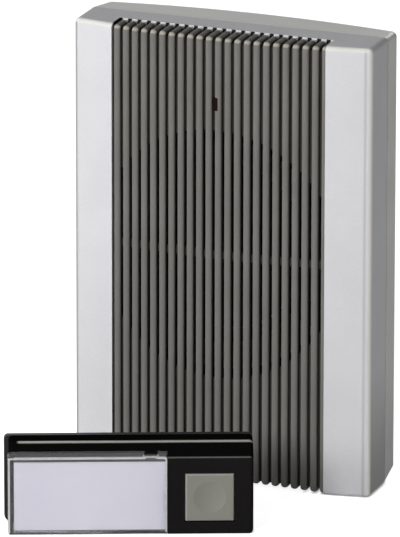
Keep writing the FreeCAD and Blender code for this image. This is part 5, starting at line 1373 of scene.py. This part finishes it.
@dataclass(frozen=True)
class SoftBox:
    """A large soft lamp, placed by its direction from the object; its sizes are metres."""

    name: str
    azimuth: float
    elevation: float
    distance: float
    width: float
    height: float
    watts: float
    tint: Colour = (1.0, 1.0, 1.0)

    def build(self, target: Vector) -> None:
        """Makes the lamp and turns it to face the target.

        Args:
            target: the point that it faces, in metres.
        """
        data = bpy.data.lights.new(self.name, "AREA")
        data.shape = "RECTANGLE"
        data.size, data.size_y = self.width, self.height
        data.energy = self.watts
        data.color = self.tint
        lamp = add_object(self.name, data)
        away = bearing(self.azimuth, self.elevation)
        lamp.location = target + away * self.distance
        lamp.rotation_euler = away.to_track_quat("Z", "Y").to_euler()


@dataclass
class Studio:
    """A pale floor, a pale world and soft lamps. The target and the contact are metres."""

    target: tuple[float, float, float] = (0.0, -0.02, 0.09)
    lamps: tuple[SoftBox, ...] = (
        SoftBox("left key", -44.0, 18.0, 1.5, 0.5, 0.5, 8.0),
        SoftBox("front key", -10.0, 22.0, 1.5, 0.45, 0.45, 9.5, (1.0, 0.995, 0.98)),
        SoftBox("right strip", 75.0, 12.0, 1.4, 0.4, 1.0, 1.6, (1.0, 1.0, 0.97)),
        SoftBox("back low", 186.0, 5.0, 1.5, 0.3, 0.3, 5.0, (1.0, 1.0, 0.99)),
    )
    ambient: float = 0.12
    horizon: float = 1.5
    zenith: float = 0.7
    haze: float = 0.45
    floor_half: float = 4000.0
    floor_lines: int = 9
    floor_tone: float = 0.86
    floor_glow: float = 0.88
    contact: float = 0.001
    contact_samples: int = 8

    def build(self) -> None:
        """Makes the world, the floor and the lamps."""
        self.world()
        self.floor()
        for lamp in self.lamps:
            lamp.build(Vector(self.target))

    def world(self) -> None:
        """White for the camera, and a grey that is paler near the horizon for the rest."""
        world = bpy.data.worlds.new("studio")
        bpy.context.scene.world = world
        pen = Pen(emptied_tree(world))
        up = pen.parts(pen.add("ShaderNodeTexCoord").outputs["Generated"])[2]
        tone = pen.mix(pen.rise(up, 0.0, self.haze), (self.horizon,) * 3, (self.zenith,) * 3)
        light = pen.add("ShaderNodeBackground", {"Color": tone, "Strength": self.ambient})
        white = pen.add("ShaderNodeBackground", {"Color": (1.0,) * 3, "Strength": 1.0})
        both = pen.add("ShaderNodeMixShader", {0: seen_directly(pen), 1: light.outputs[0],
                                               2: white.outputs[0]})
        pen.add("ShaderNodeOutputWorld", {"Surface": both.outputs[0]})

    def floor(self) -> None:
        """A plain pale floor that looks white and keeps the object's shadow."""
        sheet = Sheet()
        edge = np.linspace(-self.floor_half, self.floor_half, self.floor_lines)
        x, y = np.meshgrid(edge, edge, indexing="ij")
        sheet.add(np.stack([x, y, np.zeros_like(x)], -1), grid_quads(self.floor_lines, self.floor_lines))
        floor = sheet.piece("floor")
        material = bpy.data.materials.new("floor")
        pen = Pen(emptied_tree(material))
        near = pen.add("ShaderNodeAmbientOcclusion", {"Distance": self.contact},
                       samples=self.contact_samples).outputs["AO"]
        strength = pen.times(seen_directly(pen), near, self.floor_glow)
        glow = pen.add("ShaderNodeEmission", {"Color": (1.0,) * 3, "Strength": strength})
        matt = pen.add("ShaderNodeBsdfDiffuse", {"Color": (self.floor_tone,) * 3})
        both = pen.add("ShaderNodeAddShader", {0: glow.outputs[0], 1: matt.outputs[0]})
        pen.add("ShaderNodeOutputMaterial", {"Surface": both.outputs[0]})
        floor.data.materials.append(material)


@dataclass
class Wardrobe:
    """Builds each finish once and puts it on the CAD nodes that stay."""

    effects: Effects = field(default_factory=Effects)
    made: dict[str, bpy.types.Material] = field(default_factory=dict)

    def get(self, finish: Finish) -> bpy.types.Material:
        """The material of a finish, built the first time that it is asked for."""
        if finish.name not in self.made:
            self.made[finish.name] = finish.build(self.effects)
        return self.made[finish.name]

    @staticmethod
    def finish_of(node: str, slot: str) -> Finish:
        """The finish of a CAD node: a cell's by its number, else the node's own or its slot's.

        Args:
            node: the node's name.
            slot: its material slot in the record.

        Returns:
            The finish.
        """
        if slot == "cell_jacket":
            return cell_sleeve(int(node.split("_")[1]))
        return NODE_FINISHES.get(node) or SLOT_FINISHES[slot]

    def dress_nodes(self) -> None:
        """Gives every CAD node its finish."""
        for row in frame["record"]["subparts"]:
            node = frame["nodes"][row["node"]]
            material = self.get(self.finish_of(row["node"], row["material_slot"]))
            if not node.material_slots:
                node.data.materials.append(material)
            for slot in node.material_slots:
                slot.material = material


def main() -> None:
    """Builds the setting, the finishes and the pieces, in order."""
    logging.basicConfig(level=logging.INFO, format="%(name)s: %(message)s")
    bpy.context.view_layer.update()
    view = bpy.context.scene.view_settings
    view.view_transform = "Standard"
    PhotoCamera().build()
    Studio().build()
    wardrobe = Wardrobe()
    wardrobe.dress_nodes()
    RibbedGrille().build(wardrobe.get(RIB_PLASTIC))
    CoverGlints().build(wardrobe.get(COVER_GLINT))


if __name__ == "__main__":
    main()
